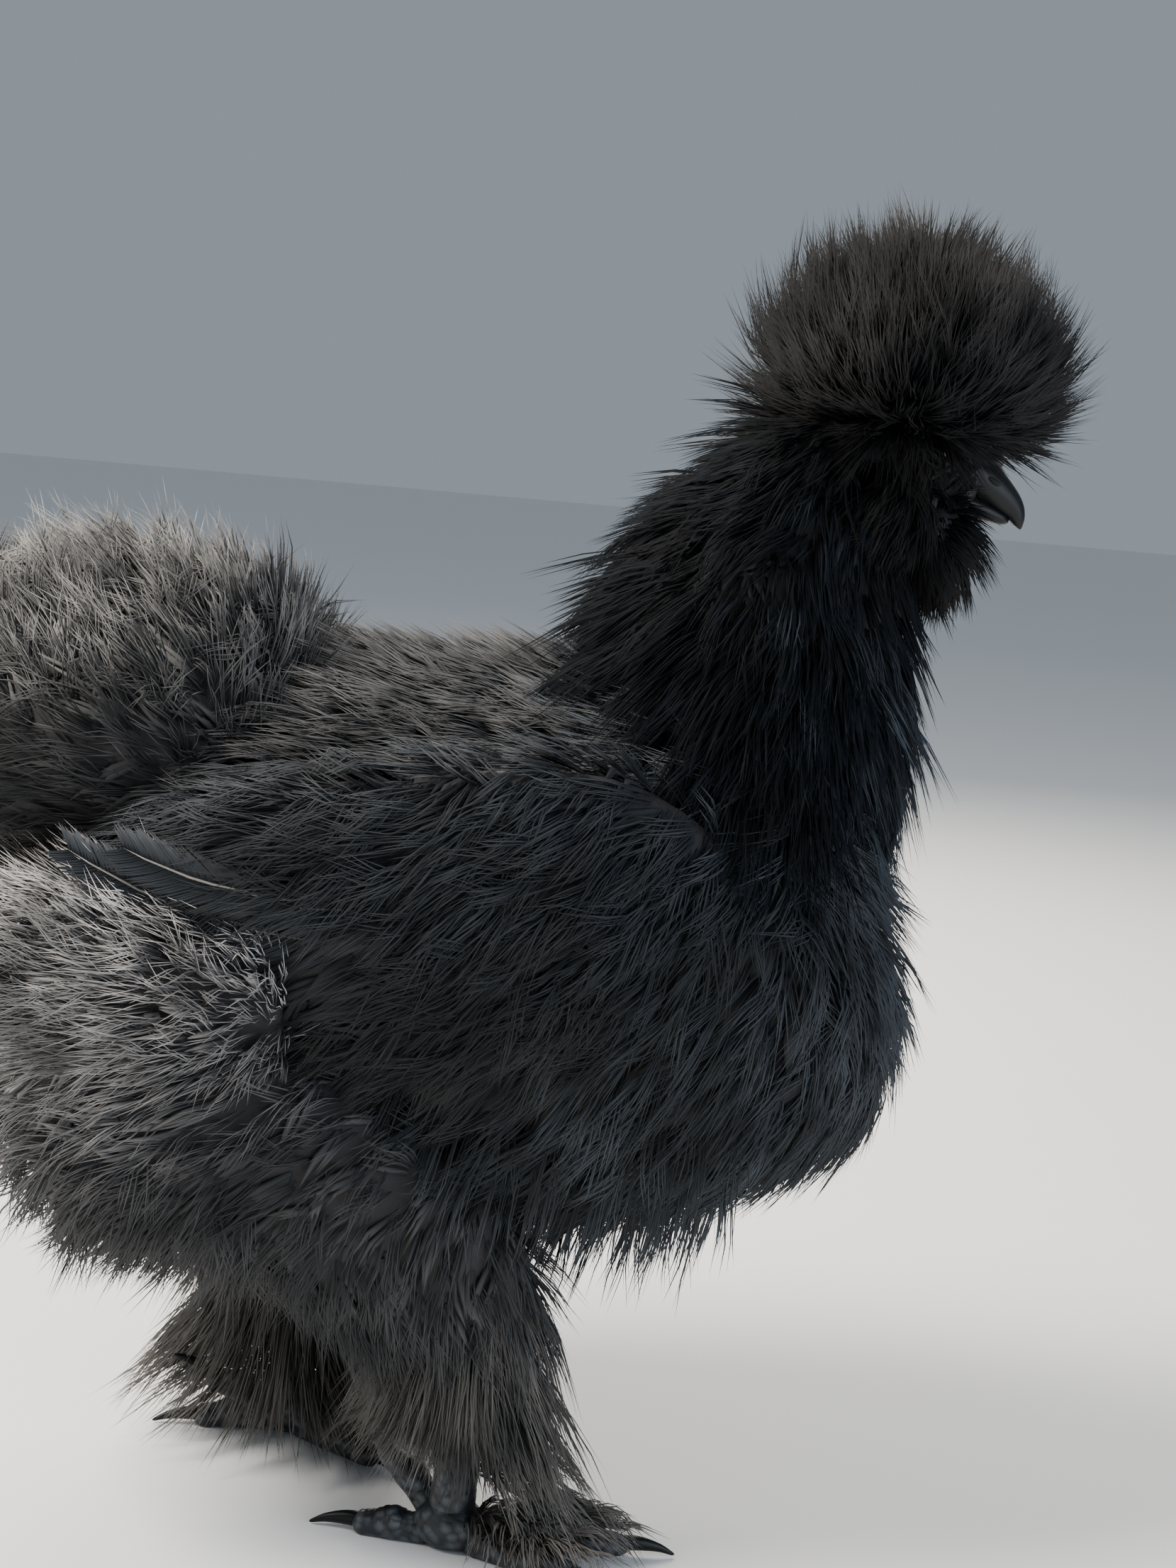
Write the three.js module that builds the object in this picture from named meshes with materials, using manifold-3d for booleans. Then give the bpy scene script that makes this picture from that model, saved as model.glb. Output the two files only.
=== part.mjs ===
// A life-size silkie hen: a small fowl with hair-like plumage, a round crest, a beard and muffs,
// five-toed feathered feet and a soft cushion of a tail. It stands still and faces +X, with +Z up
// and its left side towards +Y. Every size is in millimetres.
import * as THREE from "three";
import { mergeVertices } from "three/addons/utils/BufferGeometryUtils.js";
import Module from "manifold-3d";

const wasm = await Module();
wasm.setup();

// Driving dimensions
const GAP = 0.3; // between nodes that touch
const FLOOR = 0;
const HEAD = { x: 105, z: 274, pitch: -27 }; // middle of the skull, and how far the bill points down
const EYE = { forward: 4, side: 10.6, up: 3.2, radius: 4.3 };
const CREST = { x: 104, z: 296, length: 45, width: 43, height: 42 }; // middle and half sizes, out to the tips
const COAT = { torso: 13, neck: 11, tail: 15, leg: 11, wing: 8 }; // from core to tips
const FOOT = {
  right: { x: 17, y: -32, heading: -4 },
  left: { x: -32, y: 31, heading: 4 },
};
const PAD_HEIGHT = 5.2;
const CLAW = { length: 11, radius: 1.9 };

const RIGHT = -1;
const LEFT = 1;
const footOf = { [RIGHT]: FOOT.right, [LEFT]: FOOT.left };
const Y = new THREE.Vector3(0, 1, 0);
const vec = (x, y, z) => new THREE.Vector3(x, y, z);
const degrees = THREE.MathUtils.degToRad;
const lerp = THREE.MathUtils.lerp;
const random = () => THREE.MathUtils.seededRandom();
const wobble = (share) => 1 + share * (2 * random() - 1);

// A closed surface through rings of points, with a point or a flat cap at each end
function ringSurface(rings, first, last) {
  const sides = rings[0].length;
  const points = rings.flat();
  const faces = [];
  for (let r = 0; r + 1 < rings.length; r++) {
    for (let s = 0; s < sides; s++) {
      const a = r * sides + s;
      const b = r * sides + ((s + 1) % sides);
      faces.push([a, b, b + sides], [a, b + sides, a + sides]);
    }
  }
  const end = (rings.length - 1) * sides;
  const close = (tip, start, turned) => {
    if (tip) points.push(tip);
    const hub = tip ? points.length - 1 : start;
    for (let s = tip ? 0 : 1; s < (tip ? sides : sides - 1); s++) {
      const a = start + s;
      const b = start + ((s + 1) % sides);
      faces.push(turned ? [hub, b, a] : [hub, a, b]);
    }
  };
  close(first, 0, true);
  close(last, end, false);
  const cross = vec(0, 0, 0);
  const volume = faces.reduce(
    (sum, [a, b, c]) => sum + points[a].dot(cross.crossVectors(points[b], points[c])), 0);
  if (volume < 0) faces.forEach((face) => face.reverse());
  return new THREE.BufferGeometry().setFromPoints(points).setIndex(faces.flat());
}

// A rounded form of elliptical sections along a smooth path. A station is [x, y, z, half height, half width],
// and the caps are the shares of the length over which its ends round off.
function form(stations, startCap, endCap) {
  const curve = (points) => new THREE.CatmullRomCurve3(points, false, "catmullrom", 0.5);
  const path = curve(stations.map(([x, y, z]) => vec(x, y, z)));
  const size = curve(stations.map(([, , , tall, wide]) => vec(tall, wide, 0)));
  const rounding = (share) => Math.sqrt(Math.max(0, 1 - (1 - share) ** 2));
  const frame = (u) => {
    const along = path.getTangent(u);
    const up = vec(0, 0, 0).crossVectors(along, Y).normalize();
    const side = vec(0, 0, 0).crossVectors(up, along).normalize();
    const { x: tall, y: wide } = size.getPoint(u);
    const cap = rounding(Math.min(1, u / startCap, (1 - u) / endCap));
    return { centre: path.getPoint(u), along, up, side, tall: tall * cap, wide: wide * cap };
  };
  const skin = (u, v) => {
    const f = frame(u);
    return f.centre.addScaledVector(f.side, f.wide * Math.cos(v)).addScaledVector(f.up, f.tall * Math.sin(v));
  };
  const STEP = 1e-3;
  const slopes = (u, v) => {
    const here = skin(u, v);
    const inside = u < 0.5 ? STEP : -STEP;
    return [
      skin(u + inside, v).sub(here).divideScalar(inside),
      skin(u, v + STEP).sub(here).divideScalar(STEP),
    ];
  };
  const normal = (u, v) => {
    const [du, dv] = slopes(u, v);
    const out = du.cross(dv).normalize();
    const f = frame(u);
    return out.dot(skin(u, v).sub(f.centre)) < 0 ? out.negate() : out;
  };
  const at = (u, v, height = 0) => skin(u, v).addScaledVector(normal(u, v), height);
  return {
    frame,
    normal,
    at,
    // The place reached from (u, v) by going a distance over the surface along a direction
    step(u, v, direction, distance) {
      const [du, dv] = slopes(u, v);
      const uu = du.dot(du);
      const uv = du.dot(dv);
      const vv = dv.dot(dv);
      const a = direction.dot(du);
      const b = direction.dot(dv);
      const det = uu * vv - uv * uv;
      const stepU = (a * vv - b * uv) / det;
      const stepV = (b * uu - a * uv) / det;
      const length = du.multiplyScalar(stepU).addScaledVector(dv, stepV).length();
      const k = distance / Math.max(length, 1e-6);
      return [THREE.MathUtils.clamp(u + stepU * k, 0.02, 0.98), v + stepV * k];
    },
    // Angles that part the section at u into equal lengths, from a share of one length onwards
    around(u, gap, shift) {
      const SAMPLES = 48;
      const reach = [0];
      for (let i = 1; i <= SAMPLES; i++) {
        const turn = (2 * Math.PI) / SAMPLES;
        reach.push(reach[i - 1] + skin(u, i * turn).distanceTo(skin(u, (i - 1) * turn)));
      }
      const whole = reach[SAMPLES];
      const count = Math.max(4, Math.round(whole / gap));
      return Array.from({ length: count }, (_, i) => {
        const goal = ((i + shift) / count) * whole;
        const above = Math.max(1, reach.findIndex((length) => length >= goal));
        const share = (goal - reach[above - 1]) / (reach[above] - reach[above - 1]);
        return ((above - 1 + share) / SAMPLES) * 2 * Math.PI;
      });
    },
    holds(point, margin) {
      const SAMPLES = 30;
      const reach = path.getLength() / SAMPLES;
      for (let i = 0; i <= SAMPLES; i++) {
        const f = frame(i / SAMPLES);
        const d = point.clone().sub(f.centre);
        const across = d.dot(f.side) / (f.wide + margin);
        const above = d.dot(f.up) / (f.tall + margin);
        if (Math.abs(d.dot(f.along)) < reach + margin * 0.5 && across ** 2 + above ** 2 < 1) return true;
      }
      return false;
    },
    solid(rings, sides, grow = 0) {
      const circle = (u) =>
        Array.from({ length: sides }, (_, s) => at(u, (2 * Math.PI * s) / sides, grow));
      const start = frame(0);
      const end = frame(1);
      const share = (i) => (1 - Math.cos((Math.PI * i) / (rings + 1))) / 2;
      const places = Array.from({ length: rings }, (_, i) => share(i + 1));
      return ringSurface(
        places.map(circle),
        start.centre.addScaledVector(start.along, -grow),
        end.centre.addScaledVector(end.along, grow),
      );
    },
  };
}

// A tapered lock or vane along a line of points, the last of which is its tip. A lock has a keel on its outer
// face and a vane has one on both faces. A shape gives the share of the width at each place along the way.
const LEAF = (t) => 0.5 + 1.7 * t - 1.9 * t * t;
const FAN = (t) => 0.5 + 0.75 * t;
const VANE = (t) => 1 - 0.35 * t * t;
const ROOT_THICKNESS = 0.4; // share of the thickness at a root, which is sunk into the core
function blade({ points, normals, width, thickness, shape = LEAF }, grow = 0) {
  const vane = shape === VANE;
  const last = points.length - 1;
  const rings = [];
  for (let i = 0; i < last; i++) {
    const t = i / last;
    const along = points[i + 1].clone().sub(points[Math.max(0, i - 1)]).normalize();
    const side = vec(0, 0, 0).crossVectors(along, normals[i]).normalize();
    const out = vec(0, 0, 0).crossVectors(side, along);
    const half = (width / 2) * shape(t);
    const tall = thickness * (i === 0 ? ROOT_THICKNESS : 1 - 0.45 * t);
    const breadth = half + grow * (1 + (2 * half) / tall);
    const height = tall + 1.3 * grow;
    const centre = points[i].clone().addScaledVector(along, i === 0 ? -grow : 0);
    const place = (across, above) => centre.clone().addScaledVector(side, across).addScaledVector(out, above);
    const keel = vane ? height / 2 : height;
    const under = vane ? 0 : -grow;
    const ring = [place(breadth, under), place(0, keel), place(-breadth, under)];
    if (vane) ring.push(place(0, -keel));
    rings.push(ring);
  }
  const run = points[last].clone().sub(points[last - 1]);
  const beyond = grow * (2 / run.length() + 1 / thickness);
  return ringSurface(rings, null, points[last].clone().addScaledVector(run, beyond));
}

// A lock that starts inside a form, leaves it and follows its surface along the flow, out to the coat's reach
function lockOn(body, u, v, options) {
  const { flow, length, width, thickness, depth, sink = 4, rings = 3, rise = 0.8, shape } = options;
  const points = [];
  const normals = [];
  const END = 0.03; // share of the form at each end past which a lock leaves the surface and runs straight on
  let place = [u, v];
  let straight = null;
  for (let i = 0; i <= rings; i++) {
    const t = i / rings;
    const height = -sink + (depth + sink) * t ** rise;
    const normal = straight ? normals[i - 1] : body.normal(...place);
    normals.push(normal);
    points.push(straight ? points[i - 1].clone().add(straight) : body.at(...place, height));
    const way = flow(points[i], normal);
    place = body.step(...place, way, length / rings);
    if (i > 0 && (place[0] < END || place[0] > 1 - END)) straight ??= way.setLength(length / rings);
  }
  return { points, normals, width, thickness, shape };
}

// Rows of locks over a form, staggered and a little uneven, and shorter where fit gives less than one. None
// grows where the test forbids it or where it would lie inside a form that it keeps clear of by a margin.
function coat(body, options) {
  const { from = 0.06, to = 0.94, rowGap, lockGap, clearOf = [], seed } = options;
  const { where = () => true, fit = () => 1 } = options;
  THREE.MathUtils.seededRandom(seed);
  const buried = (point) => clearOf.some(([other, margin]) => other.holds(point, margin));
  const locks = [];
  let row = 0;
  for (let u = from; u < to; u += (0.01 * rowGap) / body.at(u, 0).distanceTo(body.at(u + 0.01, 0))) {
    for (const angle of body.around(u, lockGap, 0.5 * (row % 2) + 0.2 * random())) {
      const v = angle + 0.04 * (random() - 0.5);
      const place = THREE.MathUtils.clamp(u + 0.012 * (random() - 0.5), 0.02, 0.98);
      const vary = { length: wobble(0.12), width: wobble(0.1), depth: wobble(0.14) };
      const root = body.at(place, v);
      if (!where(root, body.normal(place, v))) continue;
      const lock = lockOn(body, place, v, {
        ...options,
        length: options.length * fit(root) * vary.length,
        width: options.width * vary.width,
        depth: options.depth * vary.depth,
      });
      if (!lock.points.slice(1).some(buried)) locks.push(lock);
    }
    row++;
  }
  return locks;
}

// Solids
function solidOf(geometry) {
  const bare = geometry.index ? geometry.clone() : geometry.toNonIndexed();
  bare.deleteAttribute("normal");
  bare.deleteAttribute("uv");
  const merged = mergeVertices(bare, 1e-4);
  return new wasm.Manifold(new wasm.Mesh({
    numProp: 3,
    vertProperties: new Float32Array(merged.attributes.position.array),
    triVerts: new Uint32Array(merged.index.array),
  }));
}
const join = (solids) => wasm.Manifold.union(solids);
const largest = (solid) =>
  solid.decompose().reduce((best, piece) => (piece.volume() > best.volume() ? piece : best));
function geometryOf(solid) {
  const { numProp, numVert, vertProperties, triVerts } = solid.getMesh();
  const position = new Float32Array(numVert * 3);
  for (let i = 0; i < numVert; i++) {
    position.set(vertProperties.subarray(i * numProp, i * numProp + 3), i * 3);
  }
  return new THREE.BufferGeometry()
    .setAttribute("position", new THREE.BufferAttribute(position, 3))
    .setIndex(new THREE.BufferAttribute(triVerts, 1));
}
// A node's cores with its locks fused to them, as a function of how far it is grown
const dressed = (cores, locks) => (grow) =>
  join([...cores.map((core) => solidOf(core(grow))), ...locks.map((lock) => solidOf(blade(lock, grow)))]);
// The room that a node needs, so that what lies under it is cut in one smooth dent and not round each lock
const covered = (cores, locks, reach) => () =>
  join([...cores.map((core) => solidOf(core(reach))), dressed(cores, locks)(GAP)]);

// The head's own directions, turned down by its pitch
const headTurn = degrees(HEAD.pitch);
const forward = vec(Math.cos(headTurn), 0, Math.sin(headTurn));
const crown = vec(-Math.sin(headTurn), 0, Math.cos(headTurn));
const onHead = (ahead, side, up) =>
  vec(HEAD.x, side, HEAD.z).addScaledVector(forward, ahead).addScaledVector(crown, up);
const headStation = (ahead, side, up, tall, wide) => [...onHead(ahead, side, up), tall, wide];
const ball = (centre, radii, grow = 0, detail = 10) =>
  new THREE.SphereGeometry(1, detail, Math.round(detail * 0.7))
    .rotateX(Math.PI / 2)
    .scale(radii[0] + grow, radii[1] + grow, radii[2] + grow)
    .rotateY(-headTurn)
    .translate(...centre);

// Forms of the body
const skull = form([
  headStation(-20, 0, -2, 12, 9.5),
  headStation(-8, 0, 0, 15.5, 12.5),
  headStation(5, 0, 0.5, 14.5, 12.2),
  headStation(15, 0, 0.8, 10, 7.8),
  headStation(20, 0, 1.6, 6.5, 5.6),
], 0.3, 0.12);
const crestCore = form([
  [CREST.x, 0, CREST.z + 19, 22, 21],
  [CREST.x, 0, CREST.z + 8, 25, 24],
  [CREST.x, 0, CREST.z - 3, 25, 24],
  [CREST.x - 1, 0, CREST.z - 12, 21, 19],
], 0.6, 0.5);
const beardCore = form([
  [HEAD.x + 3, 0, HEAD.z - 11, 8, 10],
  [HEAD.x + 8, 0, HEAD.z - 20, 9, 12],
  [HEAD.x + 6, 0, HEAD.z - 31, 7, 9],
], 0.4, 0.5);
const muffCore = (hand) => form([
  [HEAD.x + 8, hand * 12, HEAD.z - 10, 7, 4],
  [HEAD.x - 3, hand * 15, HEAD.z - 13, 9, 5],
  [HEAD.x - 14, hand * 16, HEAD.z - 18, 8, 5],
], 0.45, 0.5);
const neckCore = form([
  [80, 0, 284, 14, 13],
  [83, 0, 266, 20, 19],
  [80, 0, 248, 28, 28],
  [73, 0, 226, 36, 37],
  [68, 0, 198, 39, 45],
  [64, 0, 168, 42, 51],
], 0.16, 0.12);
const torsoCore = form([
  [106, 0, 164, 40, 40],
  [82, 0, 156, 56, 56],
  [45, 0, 149, 63, 65],
  [0, 0, 146, 64, 67],
  [-45, 0, 148, 60, 62],
  [-92, 0, 152, 42, 46],
], 0.2, 0.22);
const tailCore = form([
  [-36, 0, 180, 34, 44],
  [-68, 0, 188, 42, 52],
  [-102, 0, 188, 38, 46],
  [-125, 0, 183, 26, 32],
], 0.25, 0.4);
const wingCore = (hand) => form([
  [74, hand * 56, 172, 20, 8],
  [38, hand * 66, 168, 30, 9],
  [-6, hand * 69, 163, 31, 9],
  [-48, hand * 64.6, 160, 22.5, 8],
  [-80, hand * 56, 158, 10, 5],
], 0.25, 0.3);
// Each leg's fluff in one sweep: from the rear of the thigh forwards, then down the shank to above the foot
const legCore = {
  [RIGHT]: form([
    [-99, -41, 112, 15, 13],
    [-72, -47, 113, 31, 25],
    [-40, -48, 110, 33, 27],
    [-10, -45, 92, 27, 22],
    [11, -39, 68, 23, 16],
    [18, -35, 44, 13, 11],
    [20, -34, 24, 6, 6],
  ], 0.16, 0.1),
  [LEFT]: form([
    [-104, 40, 111, 15, 13],
    [-80, 46, 112, 30, 25],
    [-54, 48, 108, 31, 26],
    [-40, 45, 88, 27, 22],
    [-35, 39, 64, 21, 17],
    [-33, 35, 42, 16, 13],
    [-32, 33, 24, 7, 7],
  ], 0.16, 0.1),
};

const body = (shape, rings = 7, sides = 10) => (grow) => shape.solid(rings, sides, grow);

// Bill, comb, eyes and ear lobes
const upperBill = form([
  headStation(10, 0, 4.2, 5.6, 6.2),
  headStation(18, 0, 4.3, 5.4, 5.8),
  headStation(25, 0, 3.5, 4.2, 4.2),
  headStation(30, 0, 2.2, 2.8, 2.5),
  headStation(34, 0, -0.8, 0.8, 0.8),
], 0.2, 0.12);
const lowerBill = form([
  headStation(10, 0, -2.8, 2.6, 5),
  headStation(18, 0, -2.3, 2.5, 4.6),
  headStation(25, 0, -1.9, 1.9, 3.2),
  headStation(29.5, 0, -1.7, 1, 1.4),
], 0.2, 0.2);
const nostril = (hand) => ball(onHead(21.5, hand * 5.4, 5.2), [2, 0.9, 0.8], 0, 6);
const COMB_LUMPS = [[18.5, 0, 9.8, 3.2], [13.5, 2, 12, 3.6], [13.5, -2, 12, 3.6]];
const eye = (hand, grow) =>
  ball(onHead(EYE.forward, hand * EYE.side, EYE.up), [EYE.radius, EYE.radius, EYE.radius], grow, 10);
const lid = (hand, grow) =>
  new THREE.TorusGeometry(EYE.radius + 0.5, 1.1 + grow, 3, 10)
    .scale(1, 0.82, 1)
    .rotateX(Math.PI / 2)
    .rotateY(-headTurn)
    .translate(...onHead(EYE.forward, hand * (EYE.side + 1.5), EYE.up));
const earLobe = (hand, grow) => ball(onHead(-8, hand * 12.4, -4.5), [4.6, 1.9, 6.2], grow, 7);

// Lie of the coat, as the direction in which it runs at a place
const beardFlow = () => vec(0.35, 0, -1);
const muffFlow = (hand) => () => vec(-0.8, hand * 0.35, -0.6);
const neckFlow = () => vec(-0.2, 0, -1);
const torsoFlow = (p, n) => vec(-1, 0, -0.35 - 1.6 * Math.max(0, n.x) - 0.3 * Math.abs(n.y));
const tailFlow = (p, n) => vec(-1, 0, 0.25 * n.z - 0.2);
const wingFlow = () => vec(-1, 0, -0.4);
const legFlow = (p) => {
  const down = THREE.MathUtils.smoothstep(108 - p.z, 0, 40);
  return vec(lerp(-1, 0.25, down), 0, lerp(-0.55, -1, down));
};

// Flight feathers in two tiers, which fan from the rear of the wing and lie along the flank
const FLIGHT_TIERS = [
  { count: 4, from: 0.5, to: 0.84, high: 0.3, low: -0.75, length: 44, fall: 26, out: 1.6 }, // secondaries
  { count: 3, from: 0.62, to: 0.88, high: -0.2, low: -0.9, length: 54, fall: 14, out: -2.4 }, // primaries
];
const FLIGHT = { width: 11, thickness: 1.3 };
const SHINGLE = 1.8; // how much further out each flight feather lies than the one below it
function flightFeathers(hand) {
  const shape = wingCore(hand);
  return FLIGHT_TIERS.flatMap(({ count, from, to, high, low, length, fall, out }) =>
    Array.from({ length: count }, (_, i) => {
      const share = i / (count - 1);
      const f = shape.frame(lerp(from, to, share));
      const root = f.centre.clone().addScaledVector(f.up, f.tall * lerp(low, high, share));
      const slope = degrees(lerp(fall + 10, fall - 8, share));
      const points = [0, 0.4, 0.75, 1].map((t) => vec(
        root.x - length * t * Math.cos(slope),
        root.y + hand * (out + SHINGLE * i + 2 * t - 5 * t * t),
        root.z - length * t * Math.sin(slope) + 5 * t * t,
      ));
      return { points, normals: points.map(() => vec(0, hand, 0.2)), ...FLIGHT, shape: VANE };
    }));
}

// Curling plumes that break out of the top of the tail
const PLUMES = { count: 7, length: 44, width: 9, thickness: 2.4, lift: 10 };
function tailPlumes() {
  THREE.MathUtils.seededRandom(21);
  return Array.from({ length: PLUMES.count }, (_, i) => {
    const across = (2 * (i + 0.5)) / PLUMES.count - 1;
    const turn = Math.PI / 2 + across * 0.9 + 0.2 * (random() - 0.5);
    return lockOn(tailCore, lerp(0.34, 0.56, random()), turn, {
      ...PLUMES, length: PLUMES.length * wobble(0.2), depth: COAT.tail + PLUMES.lift * wobble(0.5),
      rise: 0.6, flow: (p, n) => vec(-1, 0.5 * across, 0.1 * n.z),
    });
  });
}

// Coats
// The pompom's locks leave its core square and droop as they reach out to an ellipsoid round its middle
// Degrees down from the top where a row's locks leave the core, and how much further down they then droop
const CREST_ROWS = [
  { slope: 4, droop: 44 },
  { slope: 25, droop: 32 },
  { slope: 49, droop: 26 },
  { slope: 73, droop: 24 },
  { slope: 98, droop: 24 },
];
const CREST_LOCK = { width: 17.5, thickness: 3.5 };
const CREST_STOPS = [[0.36, 0], [0.7, 0.12], [0.9, 0.5], [1, 1]]; // shares of the reach and of the droop
function crestCoat() {
  THREE.MathUtils.seededRandom(11);
  const locks = [];
  CREST_ROWS.forEach(({ slope, droop }, row) => {
    const round = 2 * Math.PI * Math.sin(degrees(slope + 10)) * CREST.width * 0.8;
    const count = Math.round(round / CREST_LOCK.width);
    for (let i = 0; i < count; i++) {
      const turn = ((i + 0.5 * (row % 2) + 0.3 * (random() - 0.5)) / count) * 2 * Math.PI;
      const lean = slope + 6 * (random() - 0.5);
      const reach = wobble(0.06);
      const towards = (tilt, share) => vec(
        share * CREST.length * Math.sin(degrees(tilt)) * Math.cos(turn),
        share * CREST.width * Math.sin(degrees(tilt)) * Math.sin(turn),
        share * CREST.height * Math.cos(degrees(tilt)),
      );
      locks.push({
        points: CREST_STOPS.map(([share, bend]) =>
          towards(lean + bend * droop, share * reach).add(vec(CREST.x, 0, CREST.z))),
        normals: CREST_STOPS.map(([, bend]) => towards(lean + bend * droop - 90, 1).normalize()),
        width: CREST_LOCK.width * wobble(0.1),
        thickness: CREST_LOCK.thickness,
        shape: FAN,
      });
    }
  });
  return locks;
}
const crestLocks = crestCoat();
const beardLocks = coat(beardCore, {
  seed: 12, from: 0.2, to: 0.9, rowGap: 11, lockGap: 12, length: 19, width: 13, thickness: 3, depth: 8,
  rings: 2, flow: beardFlow, where: (p, n) => n.x > -0.5, clearOf: [[lowerBill, 0.5]],
});
const muffLocks = (hand) => coat(muffCore(hand), {
  seed: 13, from: 0.1, to: 0.8, rowGap: 11, lockGap: 12, length: 20, width: 13, thickness: 3, depth: 9,
  rings: 2, flow: muffFlow(hand), where: (p, n) => n.y * hand > 0, clearOf: [[beardCore, 2]],
});
const neckLocks = coat(neckCore, {
  seed: 14, from: 0.16, to: 0.78, rowGap: 24, lockGap: 23, length: 42, width: 25, thickness: 4,
  depth: COAT.neck, flow: neckFlow,
  clearOf: [[crestCore, 2], [beardCore, 4], [muffCore(RIGHT), 4], [muffCore(LEFT), 4]],
});
const wingLocks = (hand) => [
  ...coat(wingCore(hand), {
    seed: 17, from: 0.05, to: 0.72, rowGap: 27, lockGap: 22, length: 46, width: 24, thickness: 2.5, rings: 2,
    depth: COAT.wing, flow: wingFlow, where: (p, n) => n.y * hand > 0.35,
    clearOf: [[neckCore, COAT.neck - 2]],
  }),
  ...flightFeathers(hand),
];
const torsoLocks = coat(torsoCore, {
  seed: 15, from: 0.02, to: 0.95, rowGap: 25, lockGap: 31, length: 48, width: 33, thickness: 4, rings: 2,
  depth: COAT.torso, flow: torsoFlow, fit: (p) => (p.x < 55 ? 0.66 : 1),
  clearOf: [[neckCore, 1], [wingCore(RIGHT), 3], [wingCore(LEFT), 3], [tailCore, -4],
    [legCore[RIGHT], 0], [legCore[LEFT], 0]],
});
const tailLocks = [
  ...coat(tailCore, {
    seed: 16, from: 0.1, to: 0.96, rowGap: 29, lockGap: 29, length: 48, width: 29, thickness: 4,
    depth: COAT.tail, flow: tailFlow, clearOf: [[torsoCore, COAT.torso - 4]],
  }),
  ...tailPlumes(),
];
// Locks that hang from the lower shank over the toes, from straight ahead round to the outer side
const BOOT = { count: 5, length: 32, width: 14, thickness: 2.4, top: 38, tip: 5, root: 3 };
const bootLocks = (hand) => {
  const foot = footOf[hand];
  return Array.from({ length: BOOT.count }, (_, i) => {
    const turn = degrees(lerp(-25, 125, i / (BOOT.count - 1)));
    const ahead = vec(Math.cos(turn), hand * Math.sin(turn), 0);
    const reach = BOOT.length * lerp(1, 0.6, i / (BOOT.count - 1));
    const stops = [0, 0.45, 0.8, 1];
    return {
      points: stops.map((t) => vec(foot.x, foot.y, lerp(BOOT.top, BOOT.tip, t ** 1.3))
        .addScaledVector(ahead, BOOT.root + reach * t)),
      normals: stops.map((t) => ahead.clone().setZ(lerp(0.4, 1.2, t))),
      ...BOOT,
    };
  });
};
const legLocks = (hand) => [
  ...coat(legCore[hand], {
    seed: 58, from: 0.04, to: 0.86, rowGap: 27, lockGap: 26, length: 38, width: 28, thickness: 3, rings: 2,
    depth: COAT.leg, flow: legFlow, where: (p, n) => (n.y * hand > -0.5 || p.z < 84) && p.z > 36,
    clearOf: [[torsoCore, 3], [wingCore(hand), 4], [tailCore, 2]],
  }),
  ...bootLocks(hand),
];

// Legs and feet
const shank = (hand) => {
  const { x, y } = footOf[hand];
  return form([
    [x + 2, y - 2 * hand, 34, 6, 5.4],
    [x + 1, y - hand, 22, 5.2, 4.8],
    [x, y, PAD_HEIGHT, 6, 6],
  ], 0.1, 0.1);
};
// Headings are degrees outwards from straight ahead. The hind toe lies back and the fifth one turns up.
const TOES = [
  { name: "inner", heading: -34, length: 31, lift: 0 },
  { name: "middle", heading: 0, length: 41, lift: 0 },
  { name: "outer", heading: 32, length: 34, lift: 0 },
  { name: "hind", heading: 192, length: 20, lift: 0 },
  { name: "fifth", heading: 222, length: 20, lift: 13 },
];
const TOE_SHAPE = [[0.02, 4.2], [0.3, 3.7], [0.5, 4.2], [0.72, 3.4], [1, 3]];
const SOLE_DEPTH = 0.7; // how much of a toe's round underside the floor takes away
const toeWay = (hand, toe) => {
  const foot = footOf[hand];
  const angle = degrees(foot.heading * hand * -1 + toe.heading);
  const ahead = vec(Math.cos(angle), hand * Math.sin(angle), 0);
  const root = vec(foot.x, foot.y, 0).addScaledVector(ahead, 4);
  return (share, radius) => root.clone().addScaledVector(ahead, share * toe.length)
    .setZ(radius - SOLE_DEPTH + toe.lift * share ** 0.8 + (toe.lift ? 3 : 0));
};
const toeForm = (hand, toe) => {
  const way = toeWay(hand, toe);
  return form(TOE_SHAPE.map(([share, radius]) => [...way(share, radius), radius, radius]), 0.1, 0.12);
};
const clawForm = (hand, toe) => {
  const way = toeWay(hand, toe);
  const claw = CLAW.length / toe.length;
  const bend = toe.lift ? 4 : 0;
  const place = (share, drop, radius) => {
    const p = way(1 + share * claw, 3);
    return [p.x, p.y, Math.max(radius + 0.1, p.z + drop), radius, radius * 0.8];
  };
  return form([
    place(-0.35, 0.6, CLAW.radius),
    place(0.1, 0.9 + bend * 0.2, CLAW.radius),
    place(0.6, 0.1 + bend * 0.6, CLAW.radius * 0.62),
    place(1, -1.6 + bend, 0.35),
  ], 0.15, 0.05);
};
const pad = (hand) => {
  const foot = footOf[hand];
  return form([
    [foot.x - 9, foot.y, PAD_HEIGHT, 4.8, 5],
    [foot.x, foot.y, PAD_HEIGHT + 0.6, 6.4, 7.6],
    [foot.x + 9, foot.y, PAD_HEIGHT - 0.6, 5, 7],
  ], 0.35, 0.35);
};

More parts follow.
